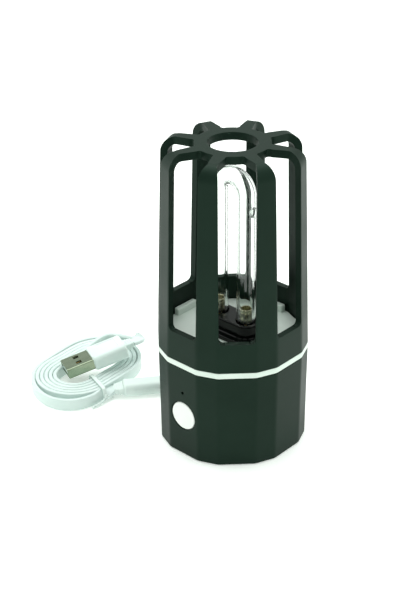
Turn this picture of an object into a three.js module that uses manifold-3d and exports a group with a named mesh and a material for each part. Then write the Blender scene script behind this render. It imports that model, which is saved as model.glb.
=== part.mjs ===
// Rechargeable ultraviolet lamp with a slotted cage, a push button and a loose flat charging lead.
// Millimetres, +Z up, origin at the centre of the footprint. The button faces -Y, the port +Y.
import * as THREE from 'three';
import { mergeVertices } from 'three/addons/utils/BufferGeometryUtils.js';
import Module from 'manifold-3d';

const wasm = await Module();
wasm.setup();

// ---- overall sizes
const acrossFlats = 58;
const overallHeight = 123;
const facetWidth = 14.8;
const edgeRound = 1.1;
const partGap = 0.3;

// ---- base tub
const baseTop = 39.3;
const baseWall = 2.2;
const floorThickness = 2.4;
const footProud = 0.2;
const baseNarrowing = 0.3;
const baseEdgeRound = 0.5;

// ---- deck, whose rim shows as the pale band
const bandHeight = 2.4;
const deckRise = 1.8;
const deckPlate = 1.8;
const deckClearance = 0.3;
const lugWidth = 11;
const lugThickness = 2.4;
const lugHeight = 2.9;

// ---- cage
const cageWall = 2.5;
const cageNarrowing = 2.7;
const cageTopThickness = 3.1;
const cageShoulder = 6;
const windowSillAboveBand = 12;
const windowWidth = 13.8;
const windowCorner = 2;
const windowHubWidth = 7.4;
const hubRadius = 14.2;
const hubHoleRadius = 9.4;
const spokeFlare = 1.2;

// ---- button, switch and indicator
const buttonRadius = 5.85;
const buttonProud = 0.15;
const buttonClearance = 0.3;
const buttonFlange = 1.1;
const flangeThickness = 1.2;
const stemRadius = 1.8;
const buttonTravel = 0.4;
const switchWidth = 7.2;
const switchDepth = 4.2;
const switchBodyHeight = 4.4;
const switchAxisAboveBoard = 2.4;
const plungerRadius = 1.3;
const plungerProud = 0.6;
const wellDepth = 3.2;
const pinholeRadius = 0.65;
const pinholeAboveButton = 10.5;
const lightPipeRadius = 1.1;
const lightPipeFromFront = 8.4;
const ledSize = 1.6;
const ledHeight = 1;

// ---- screws and feet
const postRadius = 3.9;
const postToWall = 1.3;
const pillarRadius = 3.1;
const postTop = 18.2;
const screwRadius = 1.15;
const screwHeadRadius = 2.1;
const screwHeadHeight = 1.5;
const screwHeadSeat = 13.4;
const screwLength = 17;
const boreClearance = 0.3;
const footRadius = 4.8;
const footThickness = 1.4;

// ---- circuit board, cell and parts on the board
const boardThickness = 1.2;
const boardWidth = 21;
const boardFrontToWall = 4.4;
const boardBackToWall = 2.4;
const boardPostRadius = 2.4;
const smallScrewRadius = 0.8;
const smallScrewHole = 1.3;
const boardScrewX = 7.6;
const boardScrewY = 14.2;
const cellLength = 34;
const cellWidth = 19.6;
const cellThickness = 9.4;
const padThickness = 0.8;
const cellHeadroom = 1.1;
const portWidth = 8;
const portHeight = 3;
const socketWidth = 7.5;
const socketHeight = 2.9;
const socketWall = 0.4;
const socketDepth = 5.6;
const transformerY = 3.4;
const coreLength = 12;
const coreDepth = 7;
const coreHeight = 9.6;
const coreStandoff = 0.6;
const coreLimb = 2;
const coreMiddle = 3.2;
const windingWidth = 7.4;
const windingProud = 2.2;
const wireRadius = 0.7;

// ---- lamp
const legSpacing = 13.8;
const tubeRadius = 3.7;
const tubeWall = 1;
const tubeHeadroom = 6.2;
const nippleBelowTop = 15.6;
const nippleProud = 0.15;
const nippleTurn = -8.5;
const holderHeight = 6.9;
const holderWall = 1.4;
const holderFootReach = 2.9;
const holderFootHeight = 1.5;
const holderSocketDepth = 4;
const holderScrewY = 3;
const legClearance = 0.3;
const cupClearance = 0.35;
const cupAboveSocket = 3.2;
const cupHeight = 6.4;
const cupWall = 0.45;
const pinRadius = 0.5;
const pinBelowHolder = 5;
const leadHoleRadius = 1.1;

// ---- charging lead
const ribbonWidth = 5.2;
const ribbonThickness = 1.6;
const hankX = -42;
const hankY = -13.4;
const hankTilt = 4;
const hankHalfLength = 24.5;
const hankHalfWidth = 16.5;
const hankBand = 8;
const tieWidth = 1.6;
const tieThickness = 0.7;
const tieStart = [6.6, -5.2];
const tieReach = 14.4;
const tieTurn = -22.8;
const usbShellLength = 12;
const usbShellWidth = 12;
const usbShellHeight = 4.5;
const usbShellWall = 0.4;
const usbHousingLength = 15.2;
const usbHousingWidth = 13.8;
const usbHousingHeight = 6.8;
const reliefLength = 4;
const reliefWall = 0.8;
const deviceHousingLength = 19;
const deviceHousingWidth = 8.2;
const deviceHousingHeight = 6;
const deviceShellLength = 5;
const deviceShellWidth = 6.8;
const deviceShellHeight = 1.8;

// ---- levels worked out from the sizes above
const bandBottom = baseTop + partGap;
const bandTop = bandBottom + bandHeight;
const cageBottom = bandTop + partGap;
const deckTop = bandTop + deckRise;
const sill = bandTop + windowSillAboveBand;
const apothem = acrossFlats / 2;
const baseFloorTop = footProud + floorThickness;
const postReach = apothem - baseWall - postRadius - postToWall;
const cellBottom = baseFloorTop + partGap + padThickness + partGap;
const boardTop = cellBottom + cellThickness + cellHeadroom + boardThickness;
const onBoard = boardTop + partGap;
const boardFront = -(apothem - baseWall - boardFrontToWall);
const boardBack = apothem - baseWall - boardBackToWall;
const buttonHeight = boardTop + switchAxisAboveBoard;
const legX = legSpacing / 2;
const holderBottom = deckTop + partGap;
const holderTop = holderBottom + holderHeight;
const cupBottom = holderTop - holderSocketDepth + cupAboveSocket;
const holderEnd = tubeRadius + legClearance + holderWall;
const cupRadius = tubeRadius - tubeWall - cupClearance;
const tubeTop = overallHeight - cageTopThickness - tubeHeadroom;
const coreBottom = onBoard + coreStandoff;
const ribbonLay = ribbonWidth / 2;
const ribbonOnHank = 1.5 * ribbonWidth;

const root = new THREE.Group();
const lampBody = new THREE.Group();
const lead = new THREE.Group();
lead.position.x = -apothem;
root.add(lampBody, lead);

// ---- materials
const blackPlastic = { color: 0x1c221f, roughness: 0.55, metalness: 0 };
const whitePlastic = { color: 0xf2f4f0, roughness: 0.4, metalness: 0 };
const paleDeck = { color: 0xdfe6df, roughness: 0.5, metalness: 0 };
const glass = { color: 0xe9f1ee, roughness: 0.05, metalness: 0 };
const steel = { color: 0xb6b8b4, roughness: 0.3, metalness: 1 };
const olive = { color: 0x9a927a, roughness: 0.35, metalness: 1 };
const gold = { color: 0xc9a24a, roughness: 0.35, metalness: 1 };
const boardGreen = { color: 0x1f5a3a, roughness: 0.6, metalness: 0 };
const blackResin = { color: 0x161616, roughness: 0.5, metalness: 0 };
const ferrite = { color: 0x3a3a3c, roughness: 0.8, metalness: 0 };
const tapeYellow = { color: 0xd8b54a, roughness: 0.5, metalness: 0 };
const cellBlue = { color: 0x3a5f8f, roughness: 0.45, metalness: 0 };
const foamGrey = { color: 0x55585a, roughness: 0.9, metalness: 0 };
const rubber = { color: 0x2b2d2c, roughness: 0.9, metalness: 0 };
const wireRed = { color: 0xb32a22, roughness: 0.5, metalness: 0 };
const wireBlack = { color: 0x1d1d1f, roughness: 0.5, metalness: 0 };
const wireWhite = { color: 0xe6e6e2, roughness: 0.5, metalness: 0 };
const clearResin = { color: 0xdfe9ef, roughness: 0.1, metalness: 0 };

// ---- solids and placing
function toSolid(geometry) {
  const bare = geometry.index ? geometry.toNonIndexed() : geometry.clone();
  bare.deleteAttribute('normal');
  bare.deleteAttribute('uv');
  const merged = mergeVertices(bare, 1e-4);
  const index = merged.index.array;
  const kept = [];
  for (let i = 0; i < index.length; i += 3) {
    const [a, b, c] = [index[i], index[i + 1], index[i + 2]];
    if (a !== b && b !== c && c !== a) {
      kept.push(a, b, c);
    }
  }
  return new wasm.Manifold(new wasm.Mesh({
    numProp: 3,
    vertProperties: new Float32Array(merged.attributes.position.array),
    triVerts: new Uint32Array(kept),
  }));
}

function toGeometry(solid) {
  const mesh = solid.getMesh();
  const geometry = new THREE.BufferGeometry();
  geometry.setAttribute('position', new THREE.BufferAttribute(mesh.vertProperties, 3));
  geometry.setIndex(new THREE.BufferAttribute(mesh.triVerts, 1));
  geometry.computeVertexNormals();
  return geometry;
}

function addPart(parent, name, solid, look) {
  const part = new THREE.Mesh(toGeometry(solid), new THREE.MeshStandardMaterial(look));
  part.name = name;
  parent.add(part);
  return part;
}

function joined(solids) {
  return solids.reduce((all, next) => all.add(next));
}

function cut(body, tools) {
  return tools.reduce((left, tool) => left.subtract(tool), body);
}

function radians(degrees) {
  return degrees * Math.PI / 180;
}

// ---- basic shapes
function box(width, depth, height, x, y, bottom) {
  return toSolid(new THREE.BoxGeometry(width, depth, height)).translate([x, y, bottom + height / 2]);
}

function rod(radius, bottom, top, x = 0, y = 0, sides = 24) {
  const geometry = new THREE.CylinderGeometry(radius, radius, top - bottom, sides);
  geometry.rotateX(Math.PI / 2);
  return toSolid(geometry).translate([x, y, (bottom + top) / 2]);
}

function rodAlongY(radius, start, end, x, z, sides = 24) {
  const geometry = new THREE.CylinderGeometry(radius, radius, end - start, sides);
  return toSolid(geometry).translate([x, (start + end) / 2, z]);
}

function roundedRect(width, height, corner, points = 4) {
  const shape = new THREE.Shape();
  const corners = [[1, 1, 0], [-1, 1, 90], [-1, -1, 180], [1, -1, 270]];
  const outline = [];
  for (const [sx, sy, turn] of corners) {
    for (let i = 0; i <= points; i += 1) {
      const angle = radians(turn + 90 * i / points);
      const x = sx * (width / 2 - corner) + corner * Math.cos(angle);
      const y = sy * (height / 2 - corner) + corner * Math.sin(angle);
      outline.push(new THREE.Vector2(x, y));
    }
  }
  shape.setFromPoints(outline);
  return shape;
}

function extruded(shape, height, bevel = 0, curveSegments = 12) {
  return toSolid(new THREE.ExtrudeGeometry(shape, {
    depth: height - 2 * bevel,
    bevelEnabled: bevel > 0,
    bevelThickness: bevel,
    bevelSize: bevel,
    bevelOffset: -bevel,
    bevelSegments: 2,
    curveSegments,
  })).translate([0, 0, bevel]);
}

function turned(profile, sides = 24) {
  const points = profile.map(([radius, height]) => new THREE.Vector2(radius, height));
  const geometry = new THREE.LatheGeometry(points, sides);
  geometry.rotateX(Math.PI / 2);
  return toSolid(geometry);
}

// Eight wide facets face along 0, 45, 90 degrees and so on, with a narrow facet between each two.
// Every edge between facets is softened by three points.
function facetedAngles() {
  const corner = Math.atan2(facetWidth / 2, apothem);
  const soft = edgeRound / 2 / apothem;
  const points = [];
  for (let facet = 0; facet < 8; facet += 1) {
    for (const side of [-1, 1]) {
      for (const step of [-1, 0, 1]) {
        const angle = facet * Math.PI / 4 + side * corner + step * soft;
        const middle = facet * Math.PI / 4;
        const wide = apothem / Math.cos(angle - middle);
        const narrowMiddle = middle + side * Math.PI / 8;
        const vertexRadius = apothem / Math.cos(corner);
        const narrow = vertexRadius * Math.cos(Math.PI / 8 - corner) / Math.cos(angle - narrowMiddle);
        const reach = step === 0 ? vertexRadius - edgeRound * 0.1 : Math.min(wide, narrow);
        points.push([angle, reach / apothem]);
      }
    }
  }
  return points.sort((a, b) => a[0] - b[0]);
}

// The profile gives the distance of the wide facets from the axis at each height, from axis to axis.
function faceted(profile) {
  const outline = facetedAngles();
  const points = profile.map(([distance, height]) => new THREE.Vector2(distance, height));
  const geometry = new THREE.LatheGeometry(points, outline.length);
  const position = geometry.attributes.position;
  for (let i = 0; i < position.count; i += 1) {
    const column = Math.floor(i / points.length) % outline.length;
    const row = i % points.length;
    const [angle, stretch] = outline[column];
    const reach = points[row].x * stretch;
    position.setXYZ(i, reach * Math.sin(angle), points[row].y, reach * Math.cos(angle));
  }
  geometry.rotateX(Math.PI / 2);
  return toSolid(geometry);
}

function shoulderProfile(radius, distance, height, steps) {
  const points = [];
  for (let i = 0; i <= steps; i += 1) {
    const angle = radians(90 * i / steps);
    points.push([distance - radius * (1 - Math.cos(angle)), height + radius * Math.sin(angle)]);
  }
  return points;
}

function baseDistance(height) {
  return apothem - baseNarrowing * (1 - (height - footProud) / (baseTop - footProud));
}

function cageDistance(height) {
  return apothem - cageNarrowing * (height - cageBottom) / (overallHeight - cageBottom);
}

// ---- screws and feet sit on four diagonal posts
function postCentres() {
  return [45, 135, 225, 315].map((turn) => [
    postReach * Math.cos(radians(turn)),
    postReach * Math.sin(radians(turn)),
  ]);
}

function makeBaseShell() {
  const bottom = footProud;
  const outer = faceted([
    [0, bottom],
    [baseDistance(bottom) - baseEdgeRound, bottom],
    [baseDistance(bottom) - 0.3 * baseEdgeRound, bottom + 0.3 * baseEdgeRound],
    [baseDistance(bottom), bottom + baseEdgeRound],
    [apothem, baseTop],
    [0, baseTop],
  ]);
  const cavity = faceted([
    [0, baseFloorTop],
    [baseDistance(baseFloorTop) - baseWall, baseFloorTop],
    [apothem - baseWall, baseTop + 1],
    [0, baseTop + 1],
  ]);
  let body = outer.subtract(cavity);
  for (const [x, y] of postCentres()) {
    body = body.add(rod(postRadius, bottom + 1, postTop, x, y));
  }
  for (const side of [-1, 1]) {
    body = body.add(rod(boardPostRadius, bottom + 1, boardTop - boardThickness - partGap,
      side * boardScrewX, -side * boardScrewY, 16));
  }
  const tools = [];
  for (const [x, y] of postCentres()) {
    tools.push(rod(footRadius + boreClearance, 0, footThickness + boreClearance, x, y));
    tools.push(rod(screwHeadRadius + boreClearance, 0, screwHeadSeat, x, y, 16));
    tools.push(rod(screwRadius + boreClearance, 0, postTop + 1, x, y, 16));
  }
  for (const side of [-1, 1]) {
    tools.push(rod(smallScrewRadius + boreClearance, baseFloorTop + 2, boardTop,
      side * boardScrewX, -side * boardScrewY, 12));
  }
  tools.push(rodAlongY(buttonRadius + buttonClearance, -apothem - 2, -apothem + baseWall + 3,
    0, buttonHeight, 40));
  tools.push(rodAlongY(pinholeRadius, -apothem - 2, -apothem + baseWall + 3,
    0, buttonHeight + pinholeAboveButton, 16));
  const portZ = onBoard + socketHeight / 2;
  const port = extruded(roundedRect(portWidth, portHeight, 1, 3), 2 * baseWall + 3).rotate([90, 0, 0]);
  tools.push(port.translate([0, apothem + 3, portZ]));
  return cut(body, tools);
}

function makeFoot(x, y) {
  return turned([[0, 0], [footRadius - 0.3, 0], [footRadius, 0.3], [footRadius, footThickness],
    [0, footThickness]]).translate([x, y, 0]);
}

function makeScrew(headRadius, headHeight, shankRadius, length) {
  const body = turned([[0, 0], [headRadius * 0.8, 0], [headRadius, headHeight * 0.4], [headRadius, headHeight],
    [shankRadius, headHeight], [shankRadius, headHeight + length - shankRadius],
    [0, headHeight + length]], 16);
  const slot = box(headRadius * 1.1, 0.45, headHeight, 0, 0, -headHeight * 0.5);
  return cut(body, [slot, slot.rotate([0, 0, 90])]);
}

// ---- deck
function makeDeck() {
  const innerEdge = apothem - baseWall - deckClearance;
  const rim = faceted([[0, bandBottom], [apothem, bandBottom], [apothem, bandTop], [0, bandTop]]);
  const spigot = faceted([[0, bandBottom - 2.5], [innerEdge - 0.3, bandBottom - 2.5],
    [innerEdge, bandBottom], [innerEdge, bandBottom + 0.5], [0, bandBottom + 0.5]]);
  const hollow = faceted([[0, bandBottom - 4], [innerEdge - 1.5, bandBottom - 4],
    [innerEdge - 1.5, deckTop - deckPlate], [0, deckTop - deckPlate]]);
  let body = cut(joined([rim, spigot]), [hollow]);
  const stepEdge = cageDistance(deckTop) - cageWall - deckClearance;
  body = body.add(faceted([[0, bandTop - 0.5], [stepEdge, bandTop - 0.5], [stepEdge, deckTop], [0, deckTop]])
    .subtract(hollow));
  for (let quarter = 0; quarter < 4; quarter += 1) {
    const lug = box(lugThickness, lugWidth, lugHeight + 0.5, stepEdge - lugThickness / 2, 0, deckTop - 0.5);
    body = body.add(lug.rotate([0, 0, 90 * quarter]));
  }
  for (const [x, y] of postCentres()) {
    body = body.add(rod(pillarRadius, postTop + partGap, deckTop - 0.5, x, y, 20));
  }
  const tools = postCentres().map(([x, y]) =>
    rod(screwRadius + boreClearance, postTop, screwHeadSeat + screwLength + 1, x, y, 16));
  for (const side of [-1, 1]) {
    tools.push(rod(leadHoleRadius, deckTop - deckPlate - 1, deckTop + 1, side * legX, 0, 16));
    tools.push(rod(smallScrewRadius + boreClearance, deckTop - deckPlate - 1, deckTop + 1,
      0, side * holderScrewY, 16));
  }
  return cut(body, tools);
}

// ---- lamp holder, tube and electrodes
function stadium(halfLength, halfWidth, height, sides = 10) {
  const shape = new THREE.Shape();
  const flat = halfLength - halfWidth;
  shape.absarc(flat, 0, halfWidth, -Math.PI / 2, Math.PI / 2);
  shape.absarc(-flat, 0, halfWidth, Math.PI / 2, 3 * Math.PI / 2);
  return extruded(shape, height, 0, sides);
}

function makeHolder() {
  const foot = holderEnd + holderFootReach;
  const body = stadium(legX + holderEnd, holderEnd, holderHeight)
    .add(stadium(legX + foot, foot, holderFootHeight, 16)).translate([0, 0, holderBottom]);
  const tools = [];
  for (const side of [-1, 1]) {
    tools.push(rod(tubeRadius + legClearance, holderTop - holderSocketDepth, holderTop + 1, side * legX, 0));
    tools.push(rod(pinRadius + boreClearance, holderBottom - 1, holderTop, side * legX, 0, 12));
    tools.push(rod(smallScrewRadius + boreClearance, holderBottom - 1, holderBottom + 4,
      0, side * holderScrewY, 12));
  }
  return cut(body, tools);
}

class ArchCurve extends THREE.Curve {
  constructor(radius, height) {
    super();
    this.radius = radius;
    this.height = height;
  }

  getPoint(t, target = new THREE.Vector3()) {
    const angle = Math.PI * (1 - t);
    return target.set(this.radius * Math.cos(angle), 0, this.height + this.radius * Math.sin(angle));
  }
}

// Straight legs need no steps of their own, so the arch is swept alone and the legs are rods.
function bentRod(radius, bottom, sides) {
  const section = new THREE.Shape();
  section.absarc(0, 0, radius, 0, 2 * Math.PI);
  const bendZ = tubeTop - tubeRadius - legX;
  const arch = toSolid(new THREE.ExtrudeGeometry(section, {
    steps: 16,
    curveSegments: sides,
    bevelEnabled: false,
    extrudePath: new ArchCurve(legX, bendZ),
  }));
  const legs = [-1, 1].map((side) => rod(radius, bottom, bendZ + 0.01, side * legX, 0, sides));
  return joined([arch, ...legs]);
}

function makeTube() {
  const bottom = holderTop - holderSocketDepth + partGap;
  const outer = bentRod(tubeRadius, bottom, 20);
  const nipple = turned([[0, -2.1], [1.2, -1.4], [1.6, 0], [1.2, 1.4], [0, 2.1]], 12)
    .translate([tubeRadius + nippleProud, 0, tubeTop - nippleBelowTop])
    .rotate([0, 0, nippleTurn])
    .translate([legX, 0, 0]);
  const inner = bentRod(tubeRadius - tubeWall, bottom - 1, 16);
  return outer.add(nipple).subtract(inner);
}

function makeCup(x) {
  const rim = cupBottom + cupHeight;
  const cup = turned([[0, cupBottom], [cupRadius * 0.75, cupBottom], [cupRadius, cupBottom + 0.8],
    [cupRadius, rim], [cupRadius - cupWall, rim], [cupRadius - cupWall, cupBottom + 1],
    [0, cupBottom + 1]], 20);
  return cup.translate([x, 0, 0]);
}

function makePin(x) {
  return rod(pinRadius, holderBottom - pinBelowHolder, cupBottom - partGap, x, 0, 12);
}

// ---- cage
function makeCage() {
  const shoulderZ = overallHeight - cageShoulder;
  const topDistance = cageDistance(shoulderZ);
  const outer = faceted([[0, cageBottom], [cageDistance(cageBottom), cageBottom],
    ...shoulderProfile(cageShoulder, topDistance, shoulderZ, 5), [0, overallHeight]]);
  const innerShoulder = cageShoulder - cageWall;
  const ceiling = overallHeight - cageTopThickness;
  const cavity = faceted([[0, cageBottom - 1], [cageDistance(cageBottom) - cageWall, cageBottom - 1],
    ...shoulderProfile(innerShoulder, topDistance - cageWall, ceiling - innerShoulder, 4), [0, ceiling]]);
  return cut(outer, [cavity, ...makeWindows(), rod(hubHoleRadius, ceiling - 1, overallHeight + 1, 0, 0, 48)]);
}

// Each window runs from its sill up over the shoulder to the hub, where it narrows.
function makeWindows() {
  const reach = apothem + 6;
  const shoulderStart = apothem - cageNarrowing - cageShoulder + 1;
  const plan = new THREE.Shape();
  plan.moveTo(reach, -windowWidth / 2);
  plan.lineTo(reach, windowWidth / 2);
  plan.lineTo(shoulderStart, windowWidth / 2);
  plan.lineTo(hubRadius + spokeFlare, windowHubWidth / 2);
  plan.quadraticCurveTo(hubRadius, windowHubWidth / 2 - 0.4, hubRadius, windowHubWidth / 2 - spokeFlare);
  plan.lineTo(hubRadius, -windowHubWidth / 2 + spokeFlare);
  plan.quadraticCurveTo(hubRadius, -windowHubWidth / 2 + 0.4, hubRadius + spokeFlare, -windowHubWidth / 2);
  plan.lineTo(shoulderStart, -windowWidth / 2);
  const cornerRoom = 4 * windowCorner;
  const upper = extruded(plan, overallHeight, 0, 3).translate([0, 0, sill + cornerRoom]);
  const face = roundedRect(windowWidth, 2 * cornerRoom + 4, windowCorner);
  const lower = extruded(face, reach).rotate([90, 0, 90])
    .translate([hubRadius, 0, sill + cornerRoom + 2]);
  const window = upper.add(lower);
  return [0, 1, 2, 3, 4, 5, 6, 7].map((facet) => window.rotate([0, 0, 45 * facet]));
}

// ---- button and indicator
function buttonFace() {
  return baseDistance(buttonHeight) + buttonProud;
}

function makeButtonCap() {
  const face = buttonFace();
  const flangeFace = baseDistance(buttonHeight) - baseWall - partGap - 0.1;
  const flangeBack = flangeFace - flangeThickness;
  const stemEnd = switchFront() + partGap;
  const cap = turned([[0, stemEnd], [stemRadius, stemEnd], [stemRadius, flangeBack],
    [buttonRadius + buttonFlange, flangeBack], [buttonRadius + buttonFlange, flangeFace],
    [buttonRadius, flangeFace], [buttonRadius, face - 0.5], [buttonRadius - 0.5, face], [0, face]], 40);
  return cap.rotate([90, 0, 0]).translate([0, 0, buttonHeight]);
}

function switchFront() {
  return -boardFront + plungerProud;
}

function makeSwitchBody() {
  const front = boardFront + 1.5;
  const body = box(switchWidth, switchDepth, switchBodyHeight, 0, front + switchDepth / 2, onBoard);
  const well = rodAlongY(plungerRadius + boreClearance, boardFront, boardFront + wellDepth,
    0, buttonHeight, 16);
  return body.subtract(well);
}

function makeSwitchPlunger() {
  const back = boardFront + wellDepth - partGap - buttonTravel;
  return rodAlongY(plungerRadius, -switchFront(), back, 0, buttonHeight, 16);
}

function makeLightPipe() {
  const pipeY = boardFront + lightPipeFromFront;
  const height = buttonHeight + pinholeAboveButton;
  const upright = rod(lightPipeRadius, onBoard + ledHeight + 0.4, height, 0, pipeY, 12);
  const elbow = toSolid(new THREE.SphereGeometry(lightPipeRadius, 12, 8)).translate([0, pipeY, height]);
  const innerWall = baseDistance(height) - baseWall;
  const arm = rodAlongY(lightPipeRadius, -innerWall + partGap, pipeY, 0, height, 12);
  return joined([upright, elbow, arm]);
}

// ---- board, cell and components
function makeBoard() {
  const length = boardBack - boardFront;
  const board = extruded(roundedRect(boardWidth, length, 1.5, 3), boardThickness)
    .translate([0, (boardBack + boardFront) / 2, boardTop - boardThickness]);
  const holes = [-1, 1].map((side) =>
    rod(smallScrewHole, boardTop - boardThickness - 1, boardTop + 1,
      side * boardScrewX, -side * boardScrewY, 12));
  return cut(board, holes);
}

function makeBoardScrew(side) {
  const screw = makeScrew(1.7, 1, smallScrewRadius, 5.5).rotate([180, 0, 0]);
  return screw.translate([side * boardScrewX, -side * boardScrewY, onBoard + 1]);
}

function makeCell() {
  return extruded(roundedRect(cellLength, cellWidth, 2), cellThickness, 0.6).translate([0, 0, cellBottom]);
}

function makePad() {
  return box(cellLength - 6, cellWidth - 4, padThickness, 0, 0, baseFloorTop + partGap);
}

function makeUsbSocket() {
  const front = baseDistance(onBoard) - baseWall - partGap;
  const outer = extruded(roundedRect(socketWidth, socketHeight, 0.6, 2), socketDepth);
  const hollow = extruded(roundedRect(socketWidth - 2 * socketWall, socketHeight - 2 * socketWall, 0.4, 2),
    socketDepth).translate([0, 0, -0.6]);
  const tongue = box(4, 0.7, socketDepth - 1, 0, 0.1, 0.4);
  const socket = outer.subtract(hollow).add(tongue).rotate([-90, 0, 0]);
  return socket.rotate([0, 0, 180]).translate([0, front, onBoard + socketHeight / 2]);
}

function makeLed() {
  return box(ledSize, ledSize, ledHeight, 0, boardFront + lightPipeFromFront, onBoard);
}

function makeCore() {
  const body = box(coreLength, coreDepth, coreHeight, 0, transformerY, coreBottom);
  const openingWidth = (coreLength - 2 * coreLimb - coreMiddle) / 2;
  const openings = [-1, 1].map((side) => box(openingWidth, coreDepth + 2, coreHeight - 2 * coreLimb,
    side * (coreMiddle + openingWidth) / 2, transformerY, coreBottom + coreLimb));
  return cut(body, openings);
}

function makeWinding() {
  const bottom = coreBottom + coreLimb + partGap;
  const height = coreHeight - 2 * coreLimb - 2 * partGap;
  const outer = box(windingWidth, coreDepth + 2 * windingProud, height, 0, transformerY, bottom);
  const hole = box(coreMiddle + 2 * partGap, coreDepth + 2 * partGap, height + 2, 0, transformerY, bottom - 1);
  return outer.subtract(hole);
}

function makeChip() {
  return box(5, 4, 1.5, -5.8, transformerY - 12.8, onBoard);
}

function makeFilterCapacitor() {
  return rod(2.5, onBoard, onBoard + 7, 6.6, transformerY - 10.8, 16);
}

function makeFilmCapacitor() {
  return extruded(roundedRect(7, 4, 0.8, 2), 6, 0.5).translate([5.2, boardBack - 8.8, onBoard]);
}

// ---- wires inside the tub
function wire(points, steps = 24) {
  const section = new THREE.Shape();
  section.absarc(0, 0, wireRadius, 0, 2 * Math.PI);
  const path = new THREE.CatmullRomCurve3(points.map(([x, y, z]) => new THREE.Vector3(x, y, z)));
  return toSolid(new THREE.ExtrudeGeometry(section, {
    steps,
    curveSegments: 8,
    bevelEnabled: false,
    extrudePath: path,
  }));
}

function makeLampWire(side) {
  const pinEnd = holderBottom - pinBelowHolder - partGap;
  const midway = (boardTop + pinEnd - 1) / 2;
  return wire([[side * 8.6, transformerY - 1.5, onBoard], [side * 8.8, transformerY - 1.5, boardTop + 5],
    [side * 9.2, transformerY - 2, midway], [side * 8.2, 0.4, pinEnd - 4], [side * legX, 0, pinEnd]]);
}

function makeCellWire(side) {
  const cellMiddle = cellBottom + cellThickness / 2;
  const cellEnd = cellLength / 2 + partGap;
  return wire([[-cellEnd, side * 2.4, cellMiddle], [-cellEnd - 2.6, side * 2.4, cellMiddle + 0.6],
    [-cellEnd - 2.8, side * 3, boardTop], [-cellEnd + 1, side * 4.4, boardTop + 4],
    [-9.6, side * 5.2, boardTop + 3.4], [-9.2, side * 5.4, onBoard]]);
}

// ---- charging lead, lying loose on the floor behind the lamp
function onHank(solid) {
  return solid.rotate([0, 0, hankTilt]).translate([hankX, hankY, 0]);
}

function makeHank() {
  const inner = hankHalfWidth - hankBand;
  const outer = stadium(hankHalfLength, hankHalfWidth, ribbonWidth, 14);
  const hole = stadium(hankHalfLength - hankBand, inner, ribbonWidth + 2, 12).translate([0, 0, -1]);
  return onHank(outer.subtract(hole).rotate([0, 0, 90]));
}

function ribbonCurve(points) {
  return new THREE.CatmullRomCurve3(points.map(([x, y, z]) => new THREE.Vector3(x, y, z)));
}

function ribbon(points, steps) {
  const section = new THREE.Shape();
  const corner = ribbonThickness * 0.3;
  const halfHeight = ribbonWidth / 2;
  const halfThickness = ribbonThickness / 2;
  section.moveTo(halfHeight, halfThickness - corner);
  section.lineTo(halfHeight - corner, halfThickness);
  section.lineTo(-halfHeight + corner, halfThickness);
  section.lineTo(-halfHeight, halfThickness - corner);
  section.lineTo(-halfHeight, -halfThickness + corner);
  section.lineTo(-halfHeight + corner, -halfThickness);
  section.lineTo(halfHeight - corner, -halfThickness);
  section.lineTo(halfHeight, -halfThickness + corner);
  return toSolid(new THREE.ExtrudeGeometry(section, {
    steps,
    bevelEnabled: false,
    extrudePath: ribbonCurve(points),
  }));
}

// The outermost turn is slack: it leaves the hank on its far side and ends in the device plug.
const runPoints = [
  [-60.7, -9, ribbonLay], [-59.3, -21.5, ribbonLay], [-56.9, -30.1, ribbonLay], [-51.1, -36.5, ribbonLay],
  [-44.3, -40, ribbonLay], [-36.9, -41.2, ribbonLay], [-30.2, -39.2, ribbonLay], [-25.4, -34.4, ribbonLay],
  [-23.4, -28.5, ribbonLay], [-23.1, -23.5, ribbonLay], [-23.2, -19.8, ribbonLay], [-22.6, -17.4, ribbonLay],
];
const deviceAxis = 52;
const deviceReliefStart = [-22.4, -17.1, deviceHousingHeight / 2];

// The other end comes off the innermost turn, over the top of the hank, into the USB plug.
const usbTip = [-44.8, -24, ribbonWidth + 1.3];
const tailStart = usbTip[2] + 6.5;
const tailPoints = [
  [-31, 4.5, tailStart], [-30.5, 6.4, tailStart], [-32, 8.8, tailStart - 0.6], [-35.6, 10.3, tailStart - 2],
  [-40.2, 9.6, ribbonOnHank + 1.4], [-44.6, 8, ribbonOnHank + 0.6], [-48.6, 5.6, ribbonOnHank + 0.4],
];
const usbTurn = 64;
const usbPitch = 12;
const usbRoll = 8;

function onUsbPlug(solid) {
  return solid.rotate([-usbRoll, 0, 0]).rotate([0, -usbPitch, usbTurn]).translate(usbTip);
}

function alongX(shape, length, bevel = 0) {
  return extruded(shape, length, bevel).rotate([90, 0, 90]);
}

function makeUsbShell() {
  const outer = alongX(roundedRect(usbShellWidth, usbShellHeight, 0.5, 2), usbShellLength);
  const inner = alongX(roundedRect(usbShellWidth - 2 * usbShellWall, usbShellHeight - 2 * usbShellWall, 0.3, 2),
    usbShellLength).translate([-1, 0, 0]);
  return onUsbPlug(outer.subtract(inner));
}

function makeUsbTongue() {
  const width = usbShellWidth - 2 * usbShellWall - 0.6;
  return onUsbPlug(box(usbShellLength - 1.8, width, 1.8, usbShellLength / 2 - 0.6, 0,
    -usbShellHeight / 2 + usbShellWall + 0.3));
}

function makeUsbHousing() {
  const start = usbShellLength + partGap;
  const body = alongX(roundedRect(usbHousingWidth, usbHousingHeight, 1.4, 4), usbHousingLength, 0.6);
  return onUsbPlug(body.translate([start, 0, 0]));
}

function makeRelief() {
  return alongX(roundedRect(ribbonWidth + 2 * reliefWall, ribbonThickness + 2 * reliefWall, 0.7, 3),
    reliefLength);
}

function makeUsbRelief() {
  const start = usbShellLength + usbHousingLength + 2 * partGap;
  return onUsbPlug(makeRelief().translate([start, 0, 0]));
}

function onDevicePlug(solid) {
  return solid.rotate([0, 0, deviceAxis]).translate(deviceReliefStart);
}

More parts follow.
